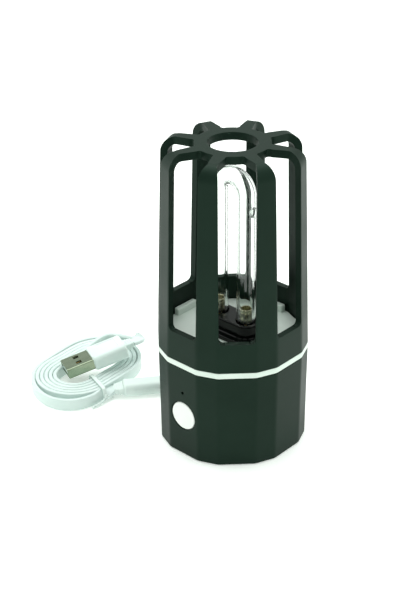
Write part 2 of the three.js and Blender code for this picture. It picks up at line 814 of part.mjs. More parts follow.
function makeDeviceRelief() {
  return onDevicePlug(makeRelief());
}

function makeDeviceHousing() {
  const body = alongX(roundedRect(deviceHousingWidth, deviceHousingHeight, 2.2, 4), deviceHousingLength, 0.5);
  return onDevicePlug(body.translate([reliefLength + partGap, 0, 0]));
}

function makeDeviceShell() {
  const start = reliefLength + deviceHousingLength + 2 * partGap;
  const outer = alongX(roundedRect(deviceShellWidth, deviceShellHeight, 0.5, 2), deviceShellLength);
  const slot = box(deviceShellLength, deviceShellWidth - 1.4, deviceShellHeight - 1, deviceShellLength / 2 + 1.6,
    0, -(deviceShellHeight - 1) / 2);
  return onDevicePlug(outer.subtract(slot).translate([start, 0, 0]));
}

// The tie is a flat loop over the near side of the hank, with its ends twisted together outside.
function makeTie() {
  const top = ribbonWidth + partGap;
  const bridge = box(tieReach + tieThickness, tieWidth, tieThickness, tieReach / 2, 0, top);
  const legs = [0, tieReach].map((x) => box(tieThickness, tieWidth, top + tieThickness - 0.4, x, 0, 0.4));
  const tail = box(3.4, 1.8, 1.3, tieReach + 1.9, 0, 0.6);
  return joined([bridge, ...legs, tail]);
}

function placeTie() {
  return onHank(makeTie().rotate([0, 0, tieTurn]).translate([...tieStart, 0]));
}

// ---- the lamp, part by part
addPart(lampBody, 'base_shell', makeBaseShell(), blackPlastic);
postCentres().forEach(([x, y], i) => {
  addPart(lampBody, `rubber_foot_${i + 1}`, makeFoot(x, y), rubber);
  const screw = makeScrew(screwHeadRadius, screwHeadHeight, screwRadius, screwLength);
  addPart(lampBody, `deck_screw_${i + 1}`,
    screw.translate([x, y, screwHeadSeat - screwHeadHeight - partGap]), steel);
});
addPart(lampBody, 'button_cap', makeButtonCap(), whitePlastic);
addPart(lampBody, 'switch_plunger', makeSwitchPlunger(), blackResin);
addPart(lampBody, 'tact_switch', makeSwitchBody(), blackResin);
addPart(lampBody, 'light_pipe', makeLightPipe(), clearResin);
addPart(lampBody, 'indicator_led', makeLed(), whitePlastic);
addPart(lampBody, 'cell_pad', makePad(), foamGrey);
addPart(lampBody, 'battery_cell', makeCell(), cellBlue);
addPart(lampBody, 'main_board', makeBoard(), boardGreen);
[-1, 1].forEach((side, i) => addPart(lampBody, `board_screw_${i + 1}`, makeBoardScrew(side), steel));
addPart(lampBody, 'usb_socket', makeUsbSocket(), steel);
addPart(lampBody, 'transformer_core', makeCore(), ferrite);
addPart(lampBody, 'transformer_winding', makeWinding(), tapeYellow);
addPart(lampBody, 'controller_chip', makeChip(), blackResin);
addPart(lampBody, 'filter_capacitor', makeFilterCapacitor(), blackResin);
addPart(lampBody, 'film_capacitor', makeFilmCapacitor(), tapeYellow);
addPart(lampBody, 'lamp_wire_left', makeLampWire(-1), wireWhite);
addPart(lampBody, 'lamp_wire_right', makeLampWire(1), wireWhite);
addPart(lampBody, 'cell_wire_red', makeCellWire(-1), wireRed);
addPart(lampBody, 'cell_wire_black', makeCellWire(1), wireBlack);
addPart(lampBody, 'deck', makeDeck(), paleDeck);
addPart(lampBody, 'lamp_holder', makeHolder(), blackPlastic);
[-1, 1].forEach((side, i) => {
  const screw = makeScrew(1.8, 1.1, smallScrewRadius, 4.6);
  addPart(lampBody, `holder_screw_${i + 1}`,
    screw.translate([0, side * holderScrewY, deckTop - deckPlate - partGap - 1.1]), steel);
});
addPart(lampBody, 'quartz_tube', makeTube(), glass);
addPart(lampBody, 'electrode_cup_left', makeCup(-legX), olive);
addPart(lampBody, 'electrode_cup_right', makeCup(legX), olive);
addPart(lampBody, 'electrode_pin_left', makePin(-legX), gold);
addPart(lampBody, 'electrode_pin_right', makePin(legX), gold);
addPart(lampBody, 'cage', makeCage(), blackPlastic);

// ---- the lead, part by part
addPart(lead, 'usb_lead_coil', makeHank(), whitePlastic);
addPart(lead, 'usb_lead_run', ribbon(runPoints, 44), whitePlastic);
addPart(lead, 'usb_lead_tail', ribbon(tailPoints, 20), whitePlastic);
addPart(lead, 'usb_a_shell', makeUsbShell(), steel);
addPart(lead, 'usb_a_tongue', makeUsbTongue(), whitePlastic);
addPart(lead, 'usb_a_housing', makeUsbHousing(), whitePlastic);
addPart(lead, 'usb_a_relief', makeUsbRelief(), whitePlastic);
addPart(lead, 'device_plug_relief', makeDeviceRelief(), whitePlastic);
addPart(lead, 'device_plug_housing', makeDeviceHousing(), whitePlastic);
addPart(lead, 'device_plug_shell', makeDeviceShell(), steel);
addPart(lead, 'twist_tie', placeTie(), whitePlastic);

export default root;
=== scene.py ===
import math

import bmesh
import bpy
from mathutils import Matrix, Vector


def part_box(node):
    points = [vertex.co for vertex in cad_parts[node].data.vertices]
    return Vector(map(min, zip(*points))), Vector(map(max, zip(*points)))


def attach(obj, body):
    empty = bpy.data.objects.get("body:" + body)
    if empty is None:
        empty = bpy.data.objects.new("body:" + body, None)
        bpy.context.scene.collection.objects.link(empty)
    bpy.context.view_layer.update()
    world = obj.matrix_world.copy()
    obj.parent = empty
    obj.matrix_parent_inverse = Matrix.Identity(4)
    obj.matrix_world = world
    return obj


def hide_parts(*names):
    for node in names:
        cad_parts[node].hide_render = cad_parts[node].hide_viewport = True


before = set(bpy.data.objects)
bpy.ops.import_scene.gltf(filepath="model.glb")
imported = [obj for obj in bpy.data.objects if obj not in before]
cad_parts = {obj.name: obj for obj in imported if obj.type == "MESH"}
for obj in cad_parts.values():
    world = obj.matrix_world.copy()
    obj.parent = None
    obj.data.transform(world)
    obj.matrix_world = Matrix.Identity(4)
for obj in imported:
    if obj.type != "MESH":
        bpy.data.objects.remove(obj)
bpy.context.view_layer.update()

# Rechargeable ultraviolet lamp: faceted tub, pale deck, eight-ribbed cage, U-shaped tube, coiled flat lead.
mm = 0.001
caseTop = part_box("cage")[1].z
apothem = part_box("cage")[1].x
print("frame loaded, lamp is", round(caseTop / mm, 1), "mm tall")


# Camera, floor and light.
view = {
    "position": (301.38 * mm, -343.39 * mm, 308.89 * mm),
    "direction": (-0.5957, 0.6424, -0.4821),
    "roll": -0.65,
    "lens": 80.96,
    "sensor": 36,
}


def makeCamera():
    data = bpy.data.cameras.new("camera")
    data.lens = view["lens"]
    data.sensor_width = view["sensor"]
    data.clip_start = 0.01
    camera = bpy.data.objects.new("camera", data)
    bpy.context.scene.collection.objects.link(camera)
    back = -Vector(view["direction"]).normalized()
    right = Vector((0, 0, 1)).cross(back).normalized()
    up = back.cross(right)
    roll = math.radians(view["roll"])
    tilted = right * math.cos(roll) + up * math.sin(roll)
    raised = back.cross(tilted)
    turn = Matrix((tilted, raised, back)).transposed().to_4x4()
    camera.matrix_world = Matrix.Translation(view["position"]) @ turn
    bpy.context.scene.camera = camera


studio = {
    "floorSize": 6.0,
    "worldColor": (0.93, 1.0, 0.95, 1),
    "worldStrength": 0.76,
    "lights": [
        # name, place in metres, aimed at, width, height, watts
        ("softTop", (-0.25, 0.25, 1.2), (0, 0, 0), 1.2, 1.2, 12),
        ("leftWall", (-1.1, -0.35, 0.55), (0, 0, 0.06), 0.9, 1.1, 3.5),
        ("rightBack", (0.75, 0.85, 0.6), (0, 0, 0.06), 0.9, 1.0, 3.5),
    ],
}


def makeStudio():
    size = studio["floorSize"] / 2
    mesh = bpy.data.meshes.new("floor")
    corners = [(-size, -size, 0), (size, -size, 0), (size, size, 0), (-size, size, 0)]
    mesh.from_pydata(corners, [], [(0, 1, 2, 3)])
    floor = bpy.data.objects.new("floor", mesh)
    bpy.context.scene.collection.objects.link(floor)
    mesh.materials.append(floorPaper())
    world = bpy.data.worlds.new("studio")
    world.use_nodes = True
    world.node_tree.nodes["Background"].inputs["Color"].default_value = studio["worldColor"]
    world.node_tree.nodes["Background"].inputs["Strength"].default_value = studio["worldStrength"]
    bpy.context.scene.world = world
    for name, place, aim, width, height, watts in studio["lights"]:
        data = bpy.data.lights.new(name, "AREA")
        data.shape = "RECTANGLE"
        data.size, data.size_y, data.energy = width, height, watts
        light = bpy.data.objects.new(name, data)
        bpy.context.scene.collection.objects.link(light)
        aimed = (Vector(place) - Vector(aim)).to_track_quat("Z", "Y").to_matrix().to_4x4()
        light.matrix_world = Matrix.Translation(place) @ aimed
    bpy.context.scene.view_settings.view_transform = "Standard"
    print("camera, floor and", len(studio["lights"]), "lights set")


# Shader groups and materials.
def newGroup(name, inputs, outputs):
    group = bpy.data.node_groups.new(name, "ShaderNodeTree")
    for label, default in inputs:
        socket = group.interface.new_socket(label, in_out="INPUT", socket_type="NodeSocketFloat")
        socket.default_value = default
    for label in outputs:
        group.interface.new_socket(label, in_out="OUTPUT", socket_type="NodeSocketFloat")
    return group, group.nodes.new("NodeGroupInput"), group.nodes.new("NodeGroupOutput")


# A math node whose inputs are sockets or plain numbers.
def mathNode(tree, operation, *values):
    node = tree.nodes.new("ShaderNodeMath")
    node.operation = operation
    for socket, value in zip(node.inputs, values):
        if isinstance(value, bpy.types.NodeSocket):
            tree.links.new(value, socket)
        else:
            socket.default_value = value
    return node.outputs[0]


def noiseIn(group, coords, scale, detail):
    node = group.nodes.new("ShaderNodeTexNoise")
    node.inputs["Detail"].default_value = detail
    group.links.new(coords.outputs["Object"], node.inputs["Vector"])
    group.links.new(scale, node.inputs["Scale"])
    return node.outputs["Fac"]


grainMix = {
    "coarseScale": 0.31,
    "coarseShare": 0.4,
    "fineShare": 0.6,
    "handling": (0.35, 0.65),         # the noise between these becomes the whole mask
    "sheenShare": 0.5,
}


# Spark-eroded mould grain: a fine height, a broad handling mask, and a sheen made of both.
def mouldGrainGroup():
    group, start, end = newGroup("mouldGrain", [("Grain per metre", 3000.0), ("Handling per metre", 60.0)],
                                 ["Grain", "Handling", "Roughness"])
    coords = group.nodes.new("ShaderNodeTexCoord")
    grain = start.outputs["Grain per metre"]
    fine = noiseIn(group, coords, grain, 3.0)
    coarse = noiseIn(group, coords, mathNode(group, "MULTIPLY", grain, grainMix["coarseScale"]), 1.0)
    coarsePart = mathNode(group, "MULTIPLY", coarse, grainMix["coarseShare"])
    height = mathNode(group, "MULTIPLY_ADD", fine, grainMix["fineShare"], coarsePart)
    ramp = group.nodes.new("ShaderNodeMapRange")
    group.links.new(noiseIn(group, coords, start.outputs["Handling per metre"], 4.0), ramp.inputs["Value"])
    ramp.inputs["From Min"].default_value, ramp.inputs["From Max"].default_value = grainMix["handling"]
    handling = ramp.outputs["Result"]
    sheen = mathNode(group, "ADD", mathNode(group, "MULTIPLY", handling, grainMix["sheenShare"]),
                     mathNode(group, "MULTIPLY", fine, grainMix["sheenShare"]))
    group.links.new(height, end.inputs["Grain"])
    group.links.new(handling, end.inputs["Handling"])
    group.links.new(sheen, end.inputs["Roughness"])
    return group


# Fine lines drawn along one axis, for drawn wire, rolled sheet and turned metal.
def drawnLinesGroup():
    group, start, end = newGroup("drawnLines", [("Lines per metre", 6000.0), ("Stretch", 0.02)],
                                 ["Lines", "Tarnish"])
    coords = group.nodes.new("ShaderNodeTexCoord")
    across = start.outputs["Lines per metre"]
    scale = group.nodes.new("ShaderNodeCombineXYZ")
    group.links.new(across, scale.inputs["X"])
    group.links.new(across, scale.inputs["Y"])
    group.links.new(mathNode(group, "MULTIPLY", across, start.outputs["Stretch"]), scale.inputs["Z"])
    grown = group.nodes.new("ShaderNodeVectorMath")
    grown.operation = "MULTIPLY"
    group.links.new(coords.outputs["Object"], grown.inputs[0])
    group.links.new(scale.outputs[0], grown.inputs[1])
    lines = group.nodes.new("ShaderNodeTexNoise")
    lines.inputs["Scale"].default_value = 1.0
    lines.inputs["Detail"].default_value = 2.0
    group.links.new(grown.outputs[0], lines.inputs["Vector"])
    tarnish = noiseIn(group, coords, mathNode(group, "MULTIPLY", across, 0.06), 4.0)
    group.links.new(lines.outputs["Fac"], end.inputs["Lines"])
    group.links.new(tarnish, end.inputs["Tarnish"])
    return group


def newMaterial(name, roughness, metallic=0.0, **sockets):
    material = bpy.data.materials.new(name)
    material.use_nodes = True
    shader = material.node_tree.nodes["Principled BSDF"]
    shader.inputs["Roughness"].default_value = roughness
    shader.inputs["Metallic"].default_value = metallic
    for label, value in sockets.items():
        shader.inputs[label.replace("_", " ")].default_value = value
    return material, material.node_tree, shader


def placed(tree, group, **values):
    node = tree.nodes.new("ShaderNodeGroup")
    node.node_tree = group
    for label, value in values.items():
        node.inputs[label.replace("_", " ")].default_value = value
    return node


def mixedColor(tree, mask, low, high):
    mix = tree.nodes.new("ShaderNodeMix")
    mix.data_type = "RGBA"
    tree.links.new(mask, mix.inputs["Factor"])
    mix.inputs[6].default_value = (*low, 1)
    mix.inputs[7].default_value = (*high, 1)
    return mix.outputs[2]


def ranged(tree, value, low, high):
    node = tree.nodes.new("ShaderNodeMapRange")
    tree.links.new(value, node.inputs["Value"])
    node.inputs["To Min"].default_value = low
    node.inputs["To Max"].default_value = high
    return node.outputs["Result"]


def bumped(tree, shader, height, depth):
    bump = tree.nodes.new("ShaderNodeBump")
    bump.inputs["Distance"].default_value = depth
    bump.inputs["Strength"].default_value = 1.0
    tree.links.new(height, bump.inputs["Height"])
    tree.links.new(bump.outputs["Normal"], shader.inputs["Normal"])


# Any moulded finish: two close colours, a grain depth and a roughness range.
def moulded(name, low, high, roughness, depth, grain=3000.0, handling=60.0, **sockets):
    material, tree, shader = newMaterial(name, roughness[0], **sockets)
    node = placed(tree, mouldGrain, Grain_per_metre=grain, Handling_per_metre=handling)
    tree.links.new(mixedColor(tree, node.outputs["Handling"], low, high), shader.inputs["Base Color"])
    tree.links.new(ranged(tree, node.outputs["Roughness"], *roughness), shader.inputs["Roughness"])
    bumped(tree, shader, node.outputs["Grain"], depth)
    return material


def drawnMetal(name, low, high, roughness, depth, lines=6000.0, stretch=0.02, **sockets):
    material, tree, shader = newMaterial(name, roughness[0], 1.0, **sockets)
    node = placed(tree, drawnLines, Lines_per_metre=lines, Stretch=stretch)
    tree.links.new(mixedColor(tree, node.outputs["Tarnish"], low, high), shader.inputs["Base Color"])
    tree.links.new(ranged(tree, node.outputs["Lines"], *roughness), shader.inputs["Roughness"])
    bumped(tree, shader, node.outputs["Lines"], depth)
    return material


def clearGlass(name, color, ior, roughness, depth):
    material, tree, shader = newMaterial(name, roughness, Transmission_Weight=1.0, IOR=ior)
    node = placed(tree, mouldGrain, Grain_per_metre=90.0, Handling_per_metre=40.0)
    tinted = [0.985 * c for c in color]
    tree.links.new(mixedColor(tree, node.outputs["Handling"], tinted, color), shader.inputs["Base Color"])
    tree.links.new(ranged(tree, node.outputs["Roughness"], roughness, roughness + 0.02),
                   shader.inputs["Roughness"])
    bumped(tree, shader, node.outputs["Grain"], depth)
    return material


def floorPaper():
    return moulded("floorPaper", (0.9, 0.92, 0.9), (0.92, 0.94, 0.92), (0.7, 0.8), 0.00002, 400.0, 4.0,
                   Emission_Color=(0.95, 1.0, 0.96, 1), Emission_Strength=0.3)


# Slot: name, two close colours, roughness range, grain depth, grain and handling per metre.
mouldedFinishes = {
    "black_plastic": ("caseBlack", (0.0036, 0.0102, 0.0064), (0.006, 0.0148, 0.0098), (0.36, 0.52),
                      0.00003, 4200.0, 45.0),
    "holderBlack": ("holderBlack", (0.002, 0.003, 0.0025), (0.004, 0.0055, 0.0048), (0.1, 0.2),
                    0.00001, 3000.0, 90.0),
    "white_plastic": ("caseWhite", (0.82, 0.86, 0.82), (0.86, 0.88, 0.85), (0.28, 0.42),
                      0.000006, 2600.0, 70.0),
    "pale_deck": ("deckWhite", (0.66, 0.76, 0.69), (0.74, 0.82, 0.76), (0.35, 0.5), 0.00001, 2600.0, 50.0),
    "lead_jacket": ("leadJacket", (0.65, 0.765, 0.735), (0.7, 0.8, 0.775), (0.38, 0.55),
                    0.00002, 2200.0, 110.0),
    "plugWhite": ("plugWhite", (0.68, 0.8, 0.76), (0.74, 0.84, 0.8), (0.3, 0.45), 0.00001, 2400.0, 80.0),
    "board_green": ("boardGreen", (0.012, 0.09, 0.035), (0.02, 0.12, 0.05), (0.3, 0.5),
                    0.00003, 900.0, 300.0),
    "black_resin": ("blackResin", (0.01, 0.01, 0.011), (0.02, 0.02, 0.02), (0.4, 0.6),
                    0.00002, 3500.0, 200.0),
    "ferrite_grey": ("ferriteGrey", (0.035, 0.035, 0.038), (0.06, 0.06, 0.062), (0.6, 0.85),
                     0.00004, 4000.0, 400.0),
    "yellow_tape": ("yellowTape", (0.6, 0.42, 0.07), (0.72, 0.52, 0.12), (0.25, 0.45),
                    0.00002, 1400.0, 260.0),
    "cell_wrap": ("cellWrap", (0.03, 0.1, 0.26), (0.05, 0.13, 0.32), (0.25, 0.4), 0.00003, 1200.0, 120.0),
    "grey_foam": ("greyFoam", (0.07, 0.075, 0.08), (0.12, 0.125, 0.13), (0.8, 0.98), 0.0002, 2600.0, 300.0),
    "grey_rubber": ("greyRubber", (0.018, 0.02, 0.019), (0.035, 0.038, 0.036), (0.65, 0.9),
                    0.00004, 2600.0, 160.0),
    "wire_red": ("wireRed", (0.4, 0.02, 0.015), (0.5, 0.035, 0.025), (0.35, 0.5), 0.00001),
    "wire_black": ("wireBlack", (0.012, 0.012, 0.013), (0.025, 0.025, 0.026), (0.35, 0.5), 0.00001),
    "wire_white": ("wireWhite", (0.7, 0.7, 0.67), (0.78, 0.78, 0.75), (0.35, 0.5), 0.00001),
}

# Shine, and light that sinks into the pale plastics.
extraSockets = {
    "black_plastic": {"Specular_IOR_Level": 0.16, "Specular_Tint": (0.62, 1.0, 0.78, 1)},
    "holderBlack": {"Specular_IOR_Level": 0.22},
    "white_plastic": {"Subsurface_Weight": 0.08, "Subsurface_Radius": (0.002, 0.002, 0.002)},
    "pale_deck": {"Subsurface_Weight": 0.08, "Subsurface_Radius": (0.002, 0.002, 0.002)},
    "lead_jacket": {"Subsurface_Weight": 0.15, "Subsurface_Radius": (0.003, 0.003, 0.003)},
    "plugWhite": {"Subsurface_Weight": 0.1, "Subsurface_Radius": (0.002, 0.002, 0.002)},
    "cell_wrap": {"Coat_Weight": 0.4},
}

# Slot: name, two close colours, roughness range, line depth, lines per metre and their stretch.
metalFinishes = {
    "plated_steel": ("platedSteel", (0.5, 0.53, 0.49), (0.62, 0.64, 0.6), (0.22, 0.36), 0.000004),
    "plugShell": ("plugShellSteel", (0.2, 0.25, 0.17), (0.33, 0.39, 0.28), (0.12, 0.24),
                  0.000004, 5000.0, 0.05),
    "electrode_nickel": ("electrodeNickel", (0.44, 0.41, 0.28), (0.6, 0.57, 0.42), (0.2, 0.36),
                         0.000006, 4000.0, 0.08),
    "gold_pin": ("goldPin", (0.62, 0.43, 0.16), (0.72, 0.52, 0.24), (0.22, 0.36), 0.000003),
}

# Slot: name, colour, refractive index, roughness, ripple depth.
glassFinishes = {
    "lamp_glass": ("quartzGlass", (0.97, 1.0, 0.98), 1.46, 0.0, 0.00004),
    "clear_resin": ("lightPipeResin", (0.93, 0.97, 0.96), 1.49, 0.06, 0.00002),
}


def makeMaterials():
    made = {}
    for slot, values in mouldedFinishes.items():
        made[slot] = moulded(*values, **extraSockets.get(slot, {}))
    made.update({slot: drawnMetal(*values) for slot, values in metalFinishes.items()})
    made.update({slot: clearGlass(*values) for slot, values in glassFinishes.items()})
    return made


# Mesh helpers.
def linked(name, mesh):
    piece = bpy.data.objects.new(name, mesh)
    bpy.context.scene.collection.objects.link(piece)
    return piece


# Doubles are merged and the faces turned outwards before anything else uses the mesh.
def meshPiece(name, verts, faces, merge=1e-7):
    bm = bmesh.new()
    made = [bm.verts.new(v) for v in verts]
    for face in faces:
        corners = [made[i] for i in face]
        if len(set(corners)) == len(corners):
            bm.faces.new(corners)
    bmesh.ops.remove_doubles(bm, verts=bm.verts, dist=merge)
    bmesh.ops.dissolve_degenerate(bm, edges=bm.edges, dist=merge)
    bmesh.ops.recalc_face_normals(bm, faces=bm.faces)
    mesh = bpy.data.meshes.new(name)
    bm.to_mesh(mesh)
    bm.free()
    return linked(name, mesh)


def ringFaces(rings, closedAround=True, closedAlong=False):
    count = len(rings[0])
    faces = []
    for i in range(len(rings) if closedAlong else len(rings) - 1):
        below, above = rings[i], rings[(i + 1) % len(rings)]
        for j in range(count if closedAround else count - 1):
            k = (j + 1) % count
            faces.append((below[j], below[k], above[k], above[j]))
    return faces


# Rings of points become one skin; the ends are closed with a flat cap unless they meet at a point.
def skinned(name, rings, capped=True, closedAlong=False):
    verts = [point for ring in rings for point in ring]
    count = len(rings[0])
    numbered = [[i * count + j for j in range(count)] for i in range(len(rings))]
    faces = ringFaces(numbered, True, closedAlong)
    if capped and not closedAlong:
        faces += [tuple(numbered[0]), tuple(numbered[-1])]
    return meshPiece(name, verts, faces)


def baked(piece):
    bpy.context.view_layer.update()
    evaluated = piece.evaluated_get(bpy.context.evaluated_depsgraph_get())
    mesh = bpy.data.meshes.new_from_object(evaluated)
    piece.modifiers.clear()
    old = piece.data
    piece.data = mesh
    mesh.name = piece.name
    bpy.data.meshes.remove(old)
    return piece


def dropped(piece):
    mesh = piece.data
    bpy.data.objects.remove(piece)
    bpy.data.meshes.remove(mesh)


def combined(piece, tools, operation):
    for tool in tools:
        change = piece.modifiers.new("combine", "BOOLEAN")
        change.operation = operation
        change.solver = "EXACT"
        change.object = tool
    baked(piece)
    for tool in tools:
        dropped(tool)
    return piece


def shaded(piece, material, sharpAngle=35, weighted=True):
    mesh = piece.data
    mesh.materials.clear()
    mesh.materials.append(material)
    mesh.shade_smooth()
    mesh.set_sharp_from_angle(angle=math.radians(sharpAngle))
    if weighted:
        change = piece.modifiers.new("flatFaces", "WEIGHTED_NORMAL")
        change.keep_sharp = True
        change.weight = 100
    return piece


def rounded(piece, width, segments, angle):
    change = piece.modifiers.new("edges", "BEVEL")
    change.width = width
    change.segments = segments
    change.limit_method = "ANGLE"
    change.angle_limit = math.radians(angle)
    return piece


def lathe(name, profile, sides=64, centre=(0, 0)):
    shift = Vector((*centre, 0))
    angles = [math.tau * i / sides for i in range(sides)]
    rings = [[Vector((radius * math.cos(a), radius * math.sin(a), height)) + shift for a in angles]
             for radius, height in profile]
    return skinned(name, rings)


# A plain round bar, for posts and drilled holes.
def barTool(radius, low, high, sides, centre=(0, 0)):
    return lathe("tool", [(0, low), (radius, low), (radius, high), (0, high)], sides, centre)


def arc(x, y, radius, start, end, steps):
    angles = [math.radians(start + (end - start) * i / steps) for i in range(steps + 1)]
    return [(x + radius * math.cos(angle), y + radius * math.sin(angle)) for angle in angles]


def roundedOutline(width, height, corner, steps=6):
    points = []
    for sx, sy, start in [(1, 1, 0), (-1, 1, 90), (-1, -1, 180), (1, -1, 270)]:
        points += arc(sx * (width / 2 - corner), sy * (height / 2 - corner), corner, start, start + 90,
                      steps)
    return points


def smoothPath(points, steps):
    path = [Vector(p) for p in points]
    ends = [2 * path[0] - path[1], *path, 2 * path[-1] - path[-2]]
    made = []
    for i in range(1, len(ends) - 2):
        a, b, c, d = ends[i - 1:i + 3]
        for j in range(steps):
            t = j / steps
            made.append(0.5 * (2 * b + (c - a) * t + (2 * a - 5 * b + 4 * c - d) * t ** 2
                               + (3 * b - a - 3 * c + d) * t ** 3))
    return made + [path[-1]]


def pathLength(path):
    return sum((b - a).length for a, b in zip(path, path[1:]))


def evenlySpaced(path, gap):
    total = pathLength(path)
    count = max(2, round(total / gap))
    made, walked, wanted = [path[0]], 0.0, total / count
    for a, b in zip(path, path[1:]):
        piece = (b - a).length
        while piece > 0 and walked + piece >= wanted - 1e-12 and len(made) < count:
            made.append(a.lerp(b, (wanted - walked) / piece))
            wanted += total / count
        walked += piece
    return made + [path[-1]]


def eased(share):
    return share * share * (3 - 2 * share)


def tangents(path):
    made = [(path[1] - path[0]).normalized()]
    made += [(c - a).normalized() for a, c in zip(path, path[2:])]
    return made + [(path[-1] - path[-2]).normalized()]


# A section of (along width, along thickness) points is carried down the path with the given width
# directions.
def swept(name, path, widths, section):
    rings = []
    for place, ahead, wide in zip(path, tangents(path), widths):
        wide = (wide - ahead * wide.dot(ahead)).normalized()
        thick = ahead.cross(wide)
        rings.append([place + wide * a + thick * b for a, b in section])
    return skinned(name, rings)


# The lead: one flat ribbon from the small plug, round the hank and up into the USB-A plug.
lead = {
    "side": -apothem,                 # the lead's points are measured from the case's left face
    "width": 5.2 * mm,
    "thickness": 1.7 * mm,
    "length": 0.681,
    "hankCentre": (-42 * mm, -13.4 * mm),
    "hankTilt": 4,
    "straight": 8 * mm,               # half length of the hank's straight sides
    "slackHalf": 18.3 * mm,
    "firstHalf": 16.6 * mm,
    "settleTurns": 0.5,
    "turns": 4.78,
    "pitch": 1.87 * mm,
    "stepsPerTurn": 72,
    "ringGap": 1.1 * mm,
    "corner": 0.5 * mm,
    "smoothSteps": 14,
    "smoothings": 6,
    "smallTwist": 12 * mm,            # how far from each plug the ribbon turns from flat to upright
    "usbTwist": 34 * mm,
}

entryPoint = (-22.1, -16.7, 3)  # inside the small plug's relief
runPoints = [
    (-60.7, -9, 2.6), (-59.3, -21.5, 2.6), (-56.9, -30.1, 2.6), (-51.1, -36.5, 2.6), (-44.3, -40, 2.6),
    (-36.9, -41.2, 2.6), (-30.2, -39.2, 2.6), (-25.4, -34.4, 2.6), (-23.4, -28.5, 2.6), (-23.1, -23.5, 2.6),
    (-23.2, -19.8, 2.6), (-22.6, -17.4, 2.6),
]
tailPoints = [
    (-31, 4.5, 13), (-30.5, 6.4, 13), (-32, 8.8, 12.4), (-35.6, 10.3, 11), (-40.2, 9.6, 9.2),
    (-44.6, 8, 8.4), (-48.6, 5.6, 8.2),
]
risePoints = [(-49.9, 1.6, 6.9), (-50.9, -3.6, 4.9), (-50.9, -9, 3.2)]  # up the hole's far side

usbPlug = {
    "tip": (-44.8 * mm, -24 * mm, 6.5 * mm),
    "turn": 64,
    "pitch": 12,
    "roll": 8,
    "shell": (12 * mm, 12 * mm, 4.5 * mm),
    "shellWall": 0.4 * mm,
    "housing": (15.2 * mm, 13.8 * mm, 6.8 * mm),
    "housingCorner": 2.2 * mm,
    "housingEdge": 1 * mm,
    "relief": 4 * mm,
    "gap": 0.3 * mm,
    "overlap": 0.25 * mm,             # each part reaches this far past its place, into its neighbour
    "corner": 0.55 * mm,
    "insideCorner": 0.3 * mm,
    "window": (5.2 * mm, 7.6 * mm),   # from and to along the shell
    "windowOff": 2.7 * mm,
    "windowHalf": 1.2 * mm,
    "windowDepth": 0.6 * mm,
    "seamHalf": 0.06 * mm,
    "tongueThickness": 1.8 * mm,
    "contacts": 4,
    "contactPitch": 2.3 * mm,
    "contact": (7.2 * mm, 1.1 * mm, 0.24 * mm),
    "thumbDip": (8 * mm, 8.6 * mm, 0.5 * mm),
    "thumbDipFrom": 4.4 * mm,
}

smallPlug = {
    "start": (-22.4 * mm, -17.1 * mm, 3 * mm),
    "turn": 52,
    "housing": (19 * mm, 8.2 * mm, 6 * mm),
    "housingCorner": 2.6 * mm,
    "housingEdge": 1 * mm,
    "shell": (5 * mm, 6.8 * mm, 1.8 * mm),
    "shellWall": 0.3 * mm,
    "relief": 4 * mm,
    "gap": 0.3 * mm,
    "overlap": 0.25 * mm,
    "grips": 5,
    "gripFrom": 5,                    # these two in millimetres along the housing
    "gripPitch": 1.5,
    "gripWidth": 0.6 * mm,
    "gripDepth": 0.28 * mm,
    "gripHalf": 1.6 * mm,
}

relief = {
    "size": (6.8 * mm, 3.2 * mm),
    "ribs": 4,
    "pitch": 1 * mm,
    "ribLength": 0.62 * mm,
    "grooveSpan": (0.68 * mm, 0.94 * mm),
    "groove": 0.5 * mm,
    "corner": 0.7 * mm,
    "grooveCorner": 0.6 * mm,
    "narrowing": 0.06,
}


def onLead(points):
    return [Vector((lead["side"] + x * mm, y * mm, z * mm)) for x, y, z in points]


def usbPlace():
    turn = Matrix.Rotation(math.radians(usbPlug["turn"]), 4, "Z")
    pitch = Matrix.Rotation(math.radians(-usbPlug["pitch"]), 4, "Y")
    roll = Matrix.Rotation(math.radians(-usbPlug["roll"]), 4, "X")
    x, y, z = usbPlug["tip"]
    return Matrix.Translation((lead["side"] + x, y, z)) @ turn @ pitch @ roll


def smallPlace():
    turn = Matrix.Rotation(math.radians(smallPlug["turn"]), 4, "Z")
    x, y, z = smallPlug["start"]
    return Matrix.Translation((lead["side"] + x, y, z)) @ turn


# The hank is a stadium spiral wound clockwise from its top left, a ribbon and a hair apart each turn.
def hankPath():
    half = lead["straight"]
    steps = lead["stepsPerTurn"]
    tilt = Matrix.Rotation(math.radians(lead["hankTilt"]), 3, "Z")
    centre = Vector((lead["side"] + lead["hankCentre"][0], lead["hankCentre"][1], lead["width"] / 2))
    made = []
    for i in range(round(lead["turns"] * steps) + 1):
        turns = i / steps
        settled = eased(min(1, turns / lead["settleTurns"]))
        inwards = max(0, turns - lead["settleTurns"]) * lead["pitch"]
        reach = lead["slackHalf"] + (lead["firstHalf"] - lead["slackHalf"]) * settled - inwards
        bend = math.pi * reach
        along = (turns % 1) * 2 * (bend + 2 * half)
        if along < bend:
            angle = math.pi - along / reach
            point = Vector((reach * math.cos(angle), half + reach * math.sin(angle), 0))
        elif along < bend + 2 * half:
            point = Vector((reach, half - (along - bend), 0))
        elif along < 2 * bend + 2 * half:
            angle = -(along - bend - 2 * half) / reach
            point = Vector((reach * math.cos(angle), -half + reach * math.sin(angle), 0))
        else:
            point = Vector((-reach, -half + (along - 2 * bend - 2 * half), 0))
        made.append(centre + tilt @ point)
    return made


